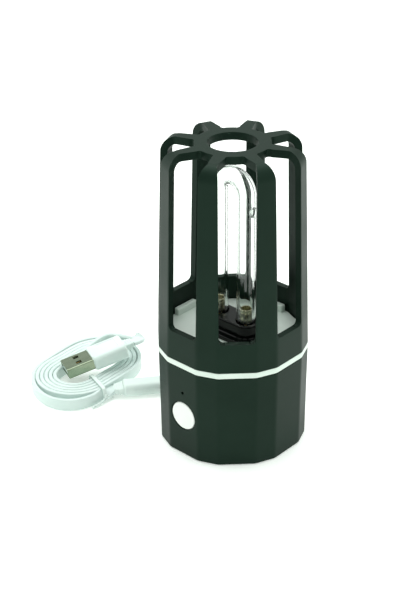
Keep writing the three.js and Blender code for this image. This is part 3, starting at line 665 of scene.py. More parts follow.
def leadPath():
    fromSmallPlug = onLead(runPoints)[::-1]
    hank = hankPath()
    toUsbPlug = onLead(tailPoints)[::-1]
    reliefEnd = usbPlace() @ Vector((usbPlug["shell"][0] + usbPlug["housing"][0] + usbPlug["relief"], 0, 0))
    steps = lead["smoothSteps"]
    first = smoothPath(onLead([entryPoint]) + fromSmallPlug[:-1] + hank[:3], steps)[:-2 * steps]
    last = smoothPath(hank[-2:] + onLead(risePoints)[::-1] + toUsbPlug + [reliefEnd], steps)[steps:]
    path = evenlySpaced(first + hank[1:-1] + last, lead["ringGap"])
    for _ in range(lead["smoothings"]):
        path = [path[0]] + [(a + b * 2 + c) / 4 for a, b, c in zip(path, path[1:], path[2:])] + [path[-1]]
    return path


# The ribbon stands on edge, and turns to lie flat where it enters each plug.
def leadWidths(path):
    upright = Vector((0, 0, 1))
    smallSide = smallPlace().to_3x3() @ Vector((0, 1, 0))
    usbSide = usbPlace().to_3x3() @ Vector((0, 1, 0))
    walked = [0.0]
    for a, b in zip(path, path[1:]):
        walked.append(walked[-1] + (b - a).length)
    made = []
    for distance in walked:
        small = max(0, 1 - distance / lead["smallTwist"])
        usb = max(0, 1 - (walked[-1] - distance) / lead["usbTwist"])
        direction = upright
        if small > 0:
            direction = upright.slerp(smallSide, eased(small))
        if usb > 0:
            direction = upright.slerp(-usbSide, eased(usb))
        made.append(direction)
    return made


def makeLead():
    path = leadPath()
    section = roundedOutline(lead["width"], lead["thickness"], lead["corner"], 4)
    ribbon = swept("lead_ribbon", path, leadWidths(path), section)
    shaded(ribbon, materials["lead_jacket"], 60, False)
    print("lead measures", round(pathLength(path), 3), "m")
    return ribbon, path


def blockAlongX(name, place, stations, steps=6):
    rings = []
    for x, width, height, corner in stations:
        corner = min(corner, width / 2 - 0.01 * mm, height / 2 - 0.01 * mm)
        rings.append([place @ Vector((x, y, z)) for y, z in roundedOutline(width, height, corner, steps)])
    return skinned(name, rings)


# Rounded nose, straight body and rounded tail, as stations for blockAlongX.
def softStations(start, length, width, height, corner, edge):
    ends = arc(edge, 0, edge, 180, 90, 5) + arc(length - edge, 0, edge, 90, 0, 5)
    return [(start + x, width - 2 * (edge - y), height - 2 * (edge - y), corner) for x, y in ends]


def boxTool(place, low, high):
    rings = [[place @ Vector((x, y, z)) for y, z in
              [(low[1], low[2]), (high[1], low[2]), (high[1], high[2]), (low[1], high[2])]]
             for x in (low[0], high[0])]
    return skinned("tool", rings)


def makeUsbShell():
    length, width, height = usbPlug["shell"]
    wall, corner, off = usbPlug["shellWall"], usbPlug["corner"], usbPlug["windowOff"]
    place = usbPlace()
    outer = [(0.12 * mm, width - 0.3 * mm, height - 0.3 * mm, 0.5 * mm), (0.35 * mm, width, height, corner),
             (length, width, height, corner)]
    shell = blockAlongX("usb_plug_shell", place, outer)
    hollow = (width - 2 * wall, height - 2 * wall, usbPlug["insideCorner"])
    tools = [blockAlongX("tool", place, [(-1 * mm, *hollow), (length - 0.4 * mm, *hollow)])]
    start, end = usbPlug["window"]
    half, depth = usbPlug["windowHalf"], usbPlug["windowDepth"]
    for side in (-1, 1):
        for face in (-1, 1):
            low = (start, side * off - half, face * height / 2 - depth)
            tools.append(boxTool(place, low, (end, side * off + half, face * height / 2 + depth)))
    seam = usbPlug["seamHalf"]
    tools.append(boxTool(place, (0.5 * mm, -seam, -height / 2 - 0.2 * mm),
                         (length - 1 * mm, seam, -height / 2 + 0.12 * mm)))
    combined(shell, tools, "DIFFERENCE")
    return shaded(shell, materials["plugShell"])


def makeUsbTongue():
    length, width, height = usbPlug["shell"]
    wall = usbPlug["shellWall"]
    place = usbPlace()
    low = -height / 2 + wall + 0.25 * mm
    tongue = blockAlongX("usb_plug_tongue", place @ Matrix.Translation((0, 0, low + 0.9 * mm)),
                         softStations(0.5 * mm, length - 1.2 * mm, width - 2 * wall - 0.5 * mm,
                                      usbPlug["tongueThickness"], 0.25 * mm, 0.2 * mm))
    contacts = []
    for i in range(usbPlug["contacts"]):
        centre = (i - 1.5) * usbPlug["contactPitch"]
        contact = blockAlongX("contact", place @ Matrix.Translation((0, centre, low + 1.85 * mm)),
                              softStations(1.4 * mm, *usbPlug["contact"], 0.08 * mm, 0.06 * mm), 3)
        contacts.append(contact)
    return shaded(tongue, materials["plugWhite"]), contacts


def makeUsbHousing():
    length, width, height = usbPlug["housing"]
    start = usbPlug["shell"][0] + usbPlug["gap"] - usbPlug["overlap"]
    place = usbPlace()
    housing = blockAlongX("usb_plug_housing", place,
                          softStations(start, length + 0.2 * mm, width, height, usbPlug["housingCorner"],
                                       usbPlug["housingEdge"]), 8)
    dips = []
    for face in (-1, 1):
        dip = blockAlongX("tool", place @ Matrix.Translation((0, 0, face * height / 2)),
                          softStations(start + usbPlug["thumbDipFrom"], *usbPlug["thumbDip"],
                                       0.24 * mm, 0.22 * mm))
        dips.append(dip)
    combined(housing, dips, "DIFFERENCE")
    return shaded(housing, materials["plugWhite"])


def makeRelief(name, place, start):
    wide, high = relief["size"]
    groove = relief["groove"]
    stations = []
    for i in range(relief["ribs"]):
        x = start + i * relief["pitch"]
        slim = 1 - relief["narrowing"] * i
        for step in (0, relief["ribLength"]):
            stations.append((x + step, wide * slim, high * slim, relief["corner"]))
        for step in relief["grooveSpan"]:
            stations.append((x + step, wide * slim - groove, high * slim - groove, relief["grooveCorner"]))
    return shaded(blockAlongX(name, place, stations), materials["plugWhite"])


def makeSmallHousing():
    length, width, height = smallPlug["housing"]
    start = smallPlug["relief"] + smallPlug["gap"] - smallPlug["overlap"]
    housing = blockAlongX("small_plug_housing", smallPlace(),
                          softStations(start, length + 0.2 * mm, width, height, smallPlug["housingCorner"],
                                       smallPlug["housingEdge"]), 8)
    depth, half = smallPlug["gripDepth"], smallPlug["gripHalf"]
    grips = []
    for side in (-1, 1):
        for i in range(smallPlug["grips"]):
            x = start + (smallPlug["gripFrom"] + smallPlug["gripPitch"] * i) * mm
            low = (x, side * width / 2 - depth, -half)
            grips.append(boxTool(smallPlace(), low,
                                 (x + smallPlug["gripWidth"], side * width / 2 + depth, half)))
    combined(housing, grips, "DIFFERENCE")
    return shaded(housing, materials["plugWhite"])


def makeSmallShell():
    length, width, height = smallPlug["shell"]
    wall = smallPlug["shellWall"]
    start = smallPlug["relief"] + smallPlug["housing"][0] + 2 * smallPlug["gap"] - 0.2 * mm
    flare = [(start, width, height, 0.5 * mm), (start + length - 0.2 * mm, width, height, 0.5 * mm),
             (start + length + 0.15 * mm, width - 0.3 * mm, height - 0.3 * mm, 0.4 * mm)]
    shell = blockAlongX("small_plug_shell", smallPlace(), flare)
    hollow = (width - 2 * wall, height - 2 * wall, 0.3 * mm)
    mouth = blockAlongX("tool", smallPlace(),
                        [(start + 1.6 * mm, *hollow), (start + length + 1 * mm, *hollow)])
    combined(shell, [mouth], "DIFFERENCE")
    return shaded(shell, materials["plugShell"])


tie = {
    "width": 1.7 * mm,
    "thickness": 0.5 * mm,
    "strand": 0.4 * mm,
    "spread": 0.34 * mm,
    "corner": 0.24 * mm,
    "longTwists": 3,
    "shortTwists": 1.5,
}

# Points in the hank's own frame: in the hole, over the turns, and down to the twist outside.
tieBand = [
    (6.6, -5.2, 0.8), (6.5, -5.15, 3), (6.8, -5.3, 5), (8, -5.8, 5.75), (13, -7.9, 5.85),
    (18.2, -10.1, 5.8), (19.4, -10.6, 4.9), (19.9, -10.8, 3.6), (20, -10.8, 2.6),
]
tieLongEnd = [(20, -10.6, 3.2), (20.6, -11.8, 2), (20.4, -14.5, 1.2), (19.7, -18.6, 0.85)]
tieShortEnd = [(20, -10.8, 3.2), (20.7, -9.8, 2.2), (20.9, -7.6, 1.1)]


def onHank(points):
    tilt = Matrix.Rotation(math.radians(lead["hankTilt"]), 4, "Z")
    x, y = lead["hankCentre"]
    place = Matrix.Translation((lead["side"] + x, y, 0)) @ tilt
    return [place @ (Vector(p) * mm) for p in points]


def twistedPair(points, twists):
    line = smoothPath(onHank(points), 12)
    pair = []
    for half in (0, math.pi):
        helix = []
        for i, (centre, ahead) in enumerate(zip(line, tangents(line))):
            angle = half + math.tau * twists * i / (len(line) - 1)
            side = ahead.cross(Vector((0, 0, 1))).normalized()
            outwards = side * math.cos(angle) + side.cross(ahead) * math.sin(angle)
            helix.append(centre + tie["spread"] * outwards)
        pair.append(swept("strand", helix, [Vector((0.3, 0.2, 1))] * len(helix),
                          arc(0, 0, tie["strand"], 0, 330, 11)))
    return pair


def gathered(piece, others):
    whole = bmesh.new()
    for each in [piece, *others]:
        whole.from_mesh(each.data)
    whole.to_mesh(piece.data)
    whole.free()
    for other in others:
        dropped(other)
    return piece


def makeTie():
    path = smoothPath(onHank(tieBand), 8)
    across = (path[-1] - path[0]).cross(Vector((0, 0, 1)))
    band = swept("twist_tie_band", path, [across] * len(path),
                 roundedOutline(tie["width"], tie["thickness"], tie["corner"], 3))
    gathered(band,
             twistedPair(tieLongEnd, tie["longTwists"]) + twistedPair(tieShortEnd, tie["shortTwists"]))
    return shaded(band, materials["plugWhite"], 50)


def placeLead():
    ribbon, path = makeLead()
    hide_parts("usb_lead_coil", "usb_lead_run", "usb_lead_tail")
    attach(ribbon, "lead")
    shell = makeUsbShell()
    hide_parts("usb_a_shell")
    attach(shell, "lead")
    tongue, contacts = makeUsbTongue()
    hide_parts("usb_a_tongue")
    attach(tongue, "lead")
    for i, contact in enumerate(contacts):
        contact.name = contact.data.name = "usb_contact_" + str(i + 1)
        shaded(contact, materials["gold_pin"])
        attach(contact, "lead")
    housing = makeUsbHousing()
    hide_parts("usb_a_housing")
    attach(housing, "lead")
    usbStart = usbPlug["shell"][0] + usbPlug["housing"][0] + 2 * usbPlug["gap"]
    usbRelief = makeRelief("usb_plug_relief", usbPlace(), usbStart - usbPlug["overlap"])
    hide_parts("usb_a_relief")
    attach(usbRelief, "lead")
    back = smallPlace() @ Matrix.Translation((smallPlug["relief"], 0, 0)) @ Matrix.Rotation(math.pi, 4, "Z")
    smallRelief = makeRelief("small_plug_relief", back, 0)
    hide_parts("device_plug_relief")
    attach(smallRelief, "lead")
    smallHousing = makeSmallHousing()
    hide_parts("device_plug_housing")
    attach(smallHousing, "lead")
    smallShell = makeSmallShell()
    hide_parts("device_plug_shell")
    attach(smallShell, "lead")
    band = makeTie()
    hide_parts("twist_tie")
    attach(band, "lead")
    print("lead and both plugs made")


# The sixteen-sided outline shared by the tub, the deck rim and the cage.
outline = {
    "facetHalf": 7.4 * mm,
    "blend": 0.012,
}


# How far the skin lies from the axis in direction angle, as a share of the distance to the wide facets.
def stretch(angle):
    corner = math.atan2(outline["facetHalf"], apothem)
    folded = abs((angle + math.pi / 8) % (math.pi / 4) - math.pi / 8)
    wide = 1 / math.cos(folded)
    narrow = math.cos(math.pi / 8 - corner) / math.cos(corner) / math.cos(math.pi / 8 - folded)
    overlap = max(outline["blend"] - abs(wide - narrow), 0) / outline["blend"]
    return min(wide, narrow) - overlap ** 2 * outline["blend"] / 4


def facetedAngles():
    corner = math.atan2(outline["facetHalf"], apothem)
    near = [0.045, 0.03, 0.02, 0.011, 0.004]  # radians from a corner, closer rows where it bends most
    angles = []
    for facet in range(8):
        middle = facet * math.pi / 4
        for side in (-1, 1):
            angles += [middle + side * (corner + step) for step in [-n for n in near] + [0] + near]
        angles += [middle, middle + math.pi / 8]
    return sorted(angles)


# A profile of (facet distance, height) pairs from axis to axis, or closed on itself, as a faceted solid.
def faceted(name, profile, closedAlong=False):
    angles = facetedAngles()
    rings = [[Vector((d * stretch(a) * math.cos(a), d * stretch(a) * math.sin(a), z)) for a in angles]
             for d, z in profile]
    return skinned(name, rings, not closedAlong, closedAlong)


# The cage: one window bay is drawn, and a node tree sets eight of them round the axis.
cage = {
    "low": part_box("cage")[0].z - 0.25 * mm,
    "wall": 2.5 * mm,
    "narrowing": 2.7 * mm,
    "topThickness": 3.1 * mm,
    "shoulder": 6 * mm,
    "sill": 54 * mm,
    "windowHalf": 6.9 * mm,
    "windowCorner": 2 * mm,
    "windowHubHalf": 3.7 * mm,
    "hubRadius": 14.2 * mm,
    "hubHole": 9.4 * mm,
    "spokeFlare": 1.2 * mm,
    "bays": 8,
    "edge": 0.34 * mm,
    "across": 12,                     # faces from a window to the rib's middle, and under half a window
    "under": 6,
    "mergeGap": 2e-6,
}


def cageDistance(z):
    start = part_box("cage")[0].z
    return apothem - cage["narrowing"] * (z - start) / (caseTop - start)


# Half the window's width at a distance x out from the axis, seen from above.
def windowHalfAt(x):
    wideFrom = apothem - cage["narrowing"] - cage["shoulder"] + 1 * mm
    narrowFrom = cage["hubRadius"] + cage["spokeFlare"]
    if x >= wideFrom:
        return cage["windowHalf"]
    share = max(0, (x - narrowFrom) / (wideFrom - narrowFrom))
    return cage["windowHubHalf"] + share * (cage["windowHalf"] - cage["windowHubHalf"])


def edgeAngle(distance, halfWidth=None):
    low, high = 0.0, math.pi / 8
    for _ in range(40):
        middle = (low + high) / 2
        reach = distance * stretch(middle)
        half = windowHalfAt(reach * math.cos(middle)) if halfWidth is None else halfWidth
        low, high = (low, middle) if reach * math.sin(middle) > half else (middle, high)
    return (low + high) / 2


def onOutline(distance, angle, z):
    reach = distance * stretch(angle)
    return Vector((reach * math.cos(angle), reach * math.sin(angle), z))


# Half a bay as rows of points from the window's edge to the middle of the rib; inset 0 is the outer skin.
def cageRows(inset, across, under):
    shoulderZ = caseTop - cage["shoulder"]
    top = caseTop - (cage["topThickness"] if inset else 0)
    radius = cage["shoulder"] - inset
    topDistance = cageDistance(shoulderZ) - inset
    corner = cage["windowCorner"]
    flatHalf = cage["windowHalf"] - corner
    rib = math.pi / 8

    def spread(start, end, count):
        return [start + (end - start) * i / count for i in range(count + 1)]

    panel = []
    sillAngle = edgeAngle(cageDistance(cage["sill"]), flatHalf)
    columns = spread(0, sillAngle, under)[:-1] + spread(sillAngle, rib, across)
    for z in spread(cage["low"], cage["sill"], 6):
        panel.append([onOutline(cageDistance(z) - inset, angle, z) for angle in columns])
    rows = []
    for turn in spread(0, math.pi / 2, 8):
        z = cage["sill"] + corner * (1 - math.cos(turn))
        distance = cageDistance(z) - inset
        start = edgeAngle(distance, flatHalf + corner * math.sin(turn))
        rows.append([onOutline(distance, angle, z) for angle in spread(start, rib, across)])
    lowShoulder = top - radius
    for z in spread(cage["sill"] + corner, lowShoulder, 14)[1:]:
        distance = cageDistance(min(z, shoulderZ)) - inset
        rows.append([onOutline(distance, a, z) for a in spread(edgeAngle(distance), rib, across)])
    for turn in spread(0, math.pi / 2, 14)[1:]:
        distance = topDistance - radius * (1 - math.cos(turn))
        z = lowShoulder + radius * math.sin(turn)
        rows.append([onOutline(distance, a, z) for a in spread(edgeAngle(distance), rib, across)])
    flat = topDistance - radius
    flareStart = cage["hubRadius"] + cage["spokeFlare"]
    for distance in spread(flat, flareStart, 6)[1:]:
        rows.append([onOutline(distance, a, top) for a in spread(edgeAngle(distance), rib, across)])
    rootHalf = cage["windowHubHalf"] - cage["spokeFlare"]
    rootX = math.sqrt(cage["hubRadius"] ** 2 - rootHalf ** 2)
    flareRow = rows[-1]
    hubMiddle = Vector((cage["hubRadius"] * math.cos(rib), cage["hubRadius"] * math.sin(rib), top))
    for turn in spread(0, math.pi / 2, 6)[1:]:
        edge = Vector((rootX + (flareRow[0].x - rootX) * (1 - math.sin(turn)),
                       rootHalf + (flareRow[0].y - rootHalf) * math.cos(turn), top))
        middle = flareRow[-1].lerp(hubMiddle, turn / (math.pi / 2))
        rows.append([edge.lerp(middle, i / across) for i in range(across + 1)])
    rootAngle = math.atan2(rootHalf, rootX)
    hubRows = []
    arcPart = [Vector((cage["hubRadius"] * math.cos(a), cage["hubRadius"] * math.sin(a), top))
               for a in spread(0, rootAngle, under)[:-1]]
    outerRow = arcPart + rows[-1]
    holeRow = [Vector((cage["hubHole"] * math.cos(a), cage["hubHole"] * math.sin(a), top))
               for a in spread(0, rootAngle, under)[:-1] + spread(rootAngle, rib, across)]
    for share in spread(0, 1, 5):
        hubRows.append([a.lerp(b, share) for a, b in zip(outerRow, holeRow)])
    return panel, rows, hubRows


def cageBay():
    across, under = cage["across"], cage["under"]
    verts, faces = [], []
    for mirror in (1, -1):
        skins = []
        for inset in (0, cage["wall"]):
            blocks = []
            for block in cageRows(inset, across, under):
                numbered = []
                for row in block:
                    numbered.append(list(range(len(verts), len(verts) + len(row))))
                    verts += [Vector((p.x, mirror * p.y, p.z)) for p in row]
                faces += ringFaces(numbered, False)
                blocks.append(numbered)
            skins.append(blocks)
        (panel, rows, hub), (panelIn, rowsIn, hubIn) = skins
        rims = [(panel[0], panelIn[0]), (panel[-1][:under + 1], panelIn[-1][:under + 1]),
                ([row[0] for row in rows], [row[0] for row in rowsIn]),
                (hub[0][:under + 1], hubIn[0][:under + 1]), (hub[-1], hubIn[-1])]
        for outer, inner in rims:
            faces += [(outer[i], outer[i + 1], inner[i + 1], inner[i]) for i in range(len(outer) - 1)]
    return meshPiece("cage_bay", verts, faces, cage["mergeGap"])


# Sets copies of one mesh round the Z axis, merges what meets and gives the material.
def ringTree():
    tree = bpy.data.node_groups.new("roundTheAxis", "GeometryNodeTree")
    tree.interface.new_socket("Geometry", in_out="OUTPUT", socket_type="NodeSocketGeometry")
    for label, kind in [("Copy", "Object"), ("Copies", "Int"), ("Reach", "Float"), ("First turn", "Float"),
                        ("Merge distance", "Float"), ("Material", "Material")]:
        tree.interface.new_socket(label, in_out="INPUT", socket_type="NodeSocket" + kind)
    start = tree.nodes.new("NodeGroupInput")
    end = tree.nodes.new("NodeGroupOutput")
    source = tree.nodes.new("GeometryNodeObjectInfo")
    line = tree.nodes.new("GeometryNodePoints")
    placing = tree.nodes.new("GeometryNodeInstanceOnPoints")
    index = tree.nodes.new("GeometryNodeInputIndex")
    share = mathNode(tree, "DIVIDE", index.outputs[0], start.outputs["Copies"])
    angle = mathNode(tree, "MULTIPLY_ADD", share, math.tau, start.outputs["First turn"])
    spin = tree.nodes.new("ShaderNodeCombineXYZ")
    outward = tree.nodes.new("ShaderNodeCombineXYZ")
    around = tree.nodes.new("ShaderNodeVectorRotate")
    around.rotation_type = "Z_AXIS"
    real = tree.nodes.new("GeometryNodeRealizeInstances")
    merge = tree.nodes.new("GeometryNodeMergeByDistance")
    paint = tree.nodes.new("GeometryNodeSetMaterial")
    link = tree.links.new
    link(start.outputs["Copy"], source.inputs["Object"])
    link(start.outputs["Copies"], line.inputs["Count"])
    link(start.outputs["Reach"], outward.inputs["X"])
    link(outward.outputs[0], around.inputs["Vector"])
    link(angle, around.inputs["Angle"])
    link(around.outputs[0], line.inputs["Position"])
    link(angle, spin.inputs["Z"])
    link(line.outputs[0], placing.inputs["Points"])
    link(source.outputs["Geometry"], placing.inputs["Instance"])
    link(spin.outputs[0], placing.inputs["Rotation"])
    link(placing.outputs[0], real.inputs[0])
    link(real.outputs[0], merge.inputs["Geometry"])
    link(start.outputs["Merge distance"], merge.inputs["Distance"])
    link(merge.outputs[0], paint.inputs["Geometry"])
    link(start.outputs["Material"], paint.inputs["Material"])
    link(paint.outputs[0], end.inputs[0])
    return tree


def roundTheAxis(name, copy, copies, material, reach=0.0, firstTurn=0.0, merge=0.0):
    piece = linked(name, bpy.data.meshes.new(name))
    change = piece.modifiers.new("roundTheAxis", "NODES")
    change.node_group = axisTree
    values = {"Copy": copy, "Copies": copies, "Reach": reach, "First turn": math.radians(firstTurn),
              "Merge distance": merge, "Material": material}
    for item in axisTree.interface.items_tree:
        if item.in_out == "INPUT":
            change[item.identifier] = values[item.name]
    baked(piece)
    dropped(copy)
    return piece


def placeCage():
    piece = roundTheAxis("case_cage", cageBay(), cage["bays"], materials["black_plastic"],
                         merge=cage["mergeGap"])
    shaded(piece, materials["black_plastic"], 60, False)
    rounded(piece, cage["edge"], 3, 45)
    weights = piece.modifiers.new("flatFaces", "WEIGHTED_NORMAL")
    weights.weight = 70
    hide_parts("cage")
    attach(piece, "lamp")
    print("cage made,", len(piece.data.polygons), "faces before its edges are rounded")


# The tub with its button hole, pinhole, charging port and screw posts.
tub = {
    "low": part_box("base_shell")[0].z,
    "top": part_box("base_shell")[1].z + 0.25 * mm,
    "wall": 2.2 * mm,
    "floor": 2.4 * mm,
    "narrowing": 0.3 * mm,
    "edge": 0.5 * mm,
    "buttonHole": 6.08 * mm,
    "pinhole": 0.65 * mm,
    "pinholeAbove": 10.5 * mm,
    "port": (8 * mm, 3 * mm, 1 * mm),
    "postReach": 21.6 * mm,
    "postRadius": 3.9 * mm,
    "postTop": 18.2 * mm,
    "postTurns": (45, 135, 225, 315),
    "lip": 0.22 * mm,
    "pinholeLip": 0.1 * mm,
    "footRecess": (5.1 * mm, 1.7 * mm),
    "headHole": (2.4 * mm, 13.4 * mm),
    "shankHole": 1.45 * mm,
}


def tubDistance(z):
    return apothem - tub["narrowing"] * (1 - (z - tub["low"]) / (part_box("base_shell")[1].z - tub["low"]))


def alongY(profile, x, z, sides, name="tool"):
    turn = Matrix.Rotation(math.radians(90), 4, "X")
    piece = lathe(name, profile, sides)
    piece.data.transform(Matrix.Translation((x, 0, z)) @ turn)
    return piece


# A round hole from the front, whose lip is rounded by lip.
def frontHole(radius, lip, z, depth, sides=64):
    face = tubDistance(z)
    profile = [(0, face + 1 * mm), (radius + lip, face + 1 * mm), (radius + lip, face)]
    profile += [(radius + lip - lip * math.sin(math.radians(a)),
                 face - lip + lip * math.cos(math.radians(a)))
                for a in (30, 60, 90)]
    profile += [(radius, face - depth), (0, face - depth)]
    return alongY(profile, 0, z, sides)


def backPort():
    width, height, corner = tub["port"]
    z = sum(c.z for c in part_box("usb_socket")) / 2
    face = tubDistance(z)
    stations = [(face - 4 * mm, 0), (face - 0.35 * mm, 0), (face - 0.1 * mm, 0.16 * mm),
                (face, 0.35 * mm), (face + 1 * mm, 0.35 * mm)]
    rings = [[Vector((x, y, z + up)) for x, up in
              roundedOutline(width + 2 * grow, height + 2 * grow, corner + grow, 8)]
             for y, grow in stations]
    return skinned("tool", rings)


def postCentres():
    return [(tub["postReach"] * math.cos(math.radians(turn)),
             tub["postReach"] * math.sin(math.radians(turn)))
            for turn in tub["postTurns"]]


def placeTub():
    low, top, edge = tub["low"], tub["top"], tub["edge"]
    bottom = tubDistance(low)
    lip = tub["lip"]
    inside = low + tub["floor"]
    profile = [(0, low)]
    profile += arc(bottom - edge, low + edge, edge, 270, 360, 6)
    profile += [(tubDistance(low + 4 * mm), low + 4 * mm)]
    profile += arc(tubDistance(top) - lip, top - lip, lip, 0, 90, 4)
    profile += [(apothem - tub["wall"], top), (tubDistance(inside) - tub["wall"] - 1 * mm, inside),
                (0, inside)]
    piece = faceted("case_tub", profile)
    buttonZ = sum(c.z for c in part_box("button_cap")) / 2
    postTop = tub["postTop"]
    posts = [barTool(tub["postRadius"], low + 1 * mm, postTop, 48, centre) for centre in postCentres()]
    combined(piece, posts, "UNION")
    holes = [frontHole(tub["buttonHole"], lip, buttonZ, 5 * mm),
             frontHole(tub["pinhole"], tub["pinholeLip"], buttonZ + tub["pinholeAbove"], 5 * mm, 32),
             backPort()]
    (footReach, footTop), (headReach, headTop), shank = tub["footRecess"], tub["headHole"], tub["shankHole"]
    for centre in postCentres():
        holes.append(lathe("tool", [(0, -1 * mm), (footReach, -1 * mm), (footReach, footTop),
                                    (headReach, footTop), (headReach, headTop), (shank, headTop),
                                    (shank, postTop + 1 * mm), (0, postTop + 1 * mm)], 48, centre))
    combined(piece, holes, "DIFFERENCE")
    shaded(piece, materials["black_plastic"], 35)
    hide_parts("base_shell")
    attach(piece, "lamp")
    print("tub made,", len(piece.data.polygons), "faces")


# The deck: its rim is the pale band, its four lugs locate the cage.
deck = {
    "bandLow": 39.6 * mm,
    "bandHigh": 42 * mm,
    "rise": 1.8 * mm,
    "plate": 1.8 * mm,
    "lug": (2.4 * mm, 11 * mm, 2.9 * mm),
    "pillar": (3.1 * mm, 18.5 * mm),  # radius, and where it stands on the tub's post
    "screwHole": (1.45 * mm, 18 * mm, 31.4 * mm),
    "wireHole": 1.1 * mm,
    "wireReach": 3 * mm,
    "lip": 0.25 * mm,
    "clearance": 0.3 * mm,
    "skirt": (1.5 * mm, 2.5 * mm),    # thickness and drop below the band
}


def placeDeck():
    low, band, lip = deck["bandLow"], deck["bandHigh"], deck["lip"]
    high = band + deck["rise"]
    step = cageDistance(high) - cage["wall"] - deck["clearance"]
    reach = apothem - 0.02 * mm
    inner = apothem - tub["wall"] - deck["clearance"]
    thickness, drop = deck["skirt"]
    profile = [(0, high - deck["plate"]), (inner - thickness, high - deck["plate"]),
               (inner - thickness, low - drop), (inner - 0.3 * mm, low - drop), (inner, low - 2 * mm),
               (inner, low)]
    profile += arc(reach - lip, low + lip, lip, 270, 360, 4) + arc(reach - lip, band - lip, lip, 0, 90, 4)
    profile += [(step, band)] + arc(step - lip, high - lip, lip, 0, 90, 4) + [(0, high)]
    piece = faceted("deck_plate", profile)
    thick, wide, tall = deck["lug"]
    lugs = []
    for quarter in range(4):
        turn = Matrix.Rotation(quarter * math.pi / 2, 4, "Z")
        rings = []
        for z, shrink in [(high - 0.5 * mm, 0), (high + tall - 0.6 * mm, 0),
                          (high + tall - 0.35 * mm, 0.07 * mm), (high + tall - 0.15 * mm, 0.22 * mm),
                          (high + tall, 0.6 * mm)]:
            rings.append([turn @ Vector((step - thick / 2 + x, y, z)) for x, y in
                          roundedOutline(thick - 2 * shrink, wide - 2 * shrink, 0.7 * mm - shrink, 5)])
        lugs.append(skinned("tool", rings, True))
    pillarReach, pillarLow = deck["pillar"]
    lugs += [barTool(pillarReach, pillarLow, high - 0.5 * mm, 40, centre) for centre in postCentres()]
    combined(piece, lugs, "UNION")
    holes = [barTool(*deck["screwHole"], 24, centre) for centre in postCentres()]
    for side in (-1, 1):
        for centre in ((side * tube["legX"], 0), (0, side * deck["wireReach"])):
            holes.append(barTool(deck["wireHole"], high - 4 * mm, high + 1 * mm, 24, centre))
    combined(piece, holes, "DIFFERENCE")
    shaded(piece, materials["pale_deck"], 35)
    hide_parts("deck")
    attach(piece, "lamp")
    print("deck made,", len(piece.data.polygons), "faces")


# Lamp holder, quartz tube, electrode cups and pins.
tube = {
    "legX": 6.9 * mm,
    "radius": 3.7 * mm,
    "wall": 1 * mm,
    "low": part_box("quartz_tube")[0].z,
    "high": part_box("quartz_tube")[1].z,
    "sides": 56,
    "nippleBelowTop": 15.6 * mm,
    "nippleProud": 0.15 * mm,
    "nippleTurn": -8.5,
    "nipple": (1.6 * mm, 2.1 * mm, 0.55 * mm),
}

holder = {
    "low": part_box("lamp_holder")[0].z,
    "high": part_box("lamp_holder")[1].z,
    "half": 5.4 * mm,
    "socket": 4 * mm,
    "edge": 0.7 * mm,
    "foot": (2.9 * mm, 1.5 * mm),
    "footEdge": 0.4 * mm,
    "clearance": 0.18 * mm,
    "pinHole": 0.8 * mm,
    "screwHole": 1.1 * mm,
    "screwReach": 3 * mm,
}


def stadiumRing(straight, half, z, steps=24):
    points = arc(straight, 0, half, -90, 90, steps) + arc(-straight, 0, half, 90, 270, steps)
    return [Vector((x, y, z)) for x, y in points]


def placeHolder():
    low, high, half, edge = holder["low"], holder["high"], holder["half"], holder["edge"]
    straight = tube["legX"]
    reach, tall = holder["foot"]
    curve = [(half + reach - x, low + z) for x, z in
             arc(holder["footEdge"], tall - holder["footEdge"], holder["footEdge"], 180, 90, 4)]
    rings = [stadiumRing(straight, half + reach, low)] + [stadiumRing(straight, *place) for place in curve]
    rings += [stadiumRing(straight, half + 0.3 * mm, low + tall),
              stadiumRing(straight, half, low + tall + 0.3 * mm)]
    for inset, z in [(edge - edge * math.cos(math.radians(a)),
                      high - edge + edge * math.sin(math.radians(a)))
                     for a in (0, 18, 36, 54, 72, 90)]:
        rings.append(stadiumRing(straight, half - inset, z))
    piece = skinned("lamp_holder_block", rings)
    holes = []
    reach = tube["radius"] + holder["clearance"]
    for side in (-1, 1):
        holes.append(lathe("tool", [(0, high - holder["socket"]), (reach, high - holder["socket"]),
                                    (reach, high - 0.3 * mm), (reach + 0.09 * mm, high - 0.1 * mm),
                                    (reach + 0.3 * mm, high), (reach + 0.3 * mm, high + 1 * mm),
                                    (0, high + 1 * mm)], 56, (side * tube["legX"], 0)))
        holes.append(barTool(holder["pinHole"], low - 1 * mm, high, 20, (side * tube["legX"], 0)))
        holes.append(barTool(holder["screwHole"], low - 1 * mm, low + 4 * mm, 20,
                             (0, side * holder["screwReach"])))
    combined(piece, holes, "DIFFERENCE")
    shaded(piece, materials["holderBlack"], 35)
    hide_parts("lamp_holder")
    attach(piece, "lamp")
    print("lamp holder made")


# The tube's line goes up one leg, over the half-round top and down the other.
def tubeLine(low):
    legX = tube["legX"]
    bendZ = tube["high"] - tube["radius"] - legX
    line = [Vector((-legX, 0, low + (bendZ - low) * i / 10)) for i in range(10)]
    line += [Vector((x, 0, z)) for x, z in arc(0, bendZ, legX, 180, 0, 40)]
    line += [Vector((legX, 0, bendZ - (bendZ - low) * i / 10)) for i in range(1, 11)]
    return line


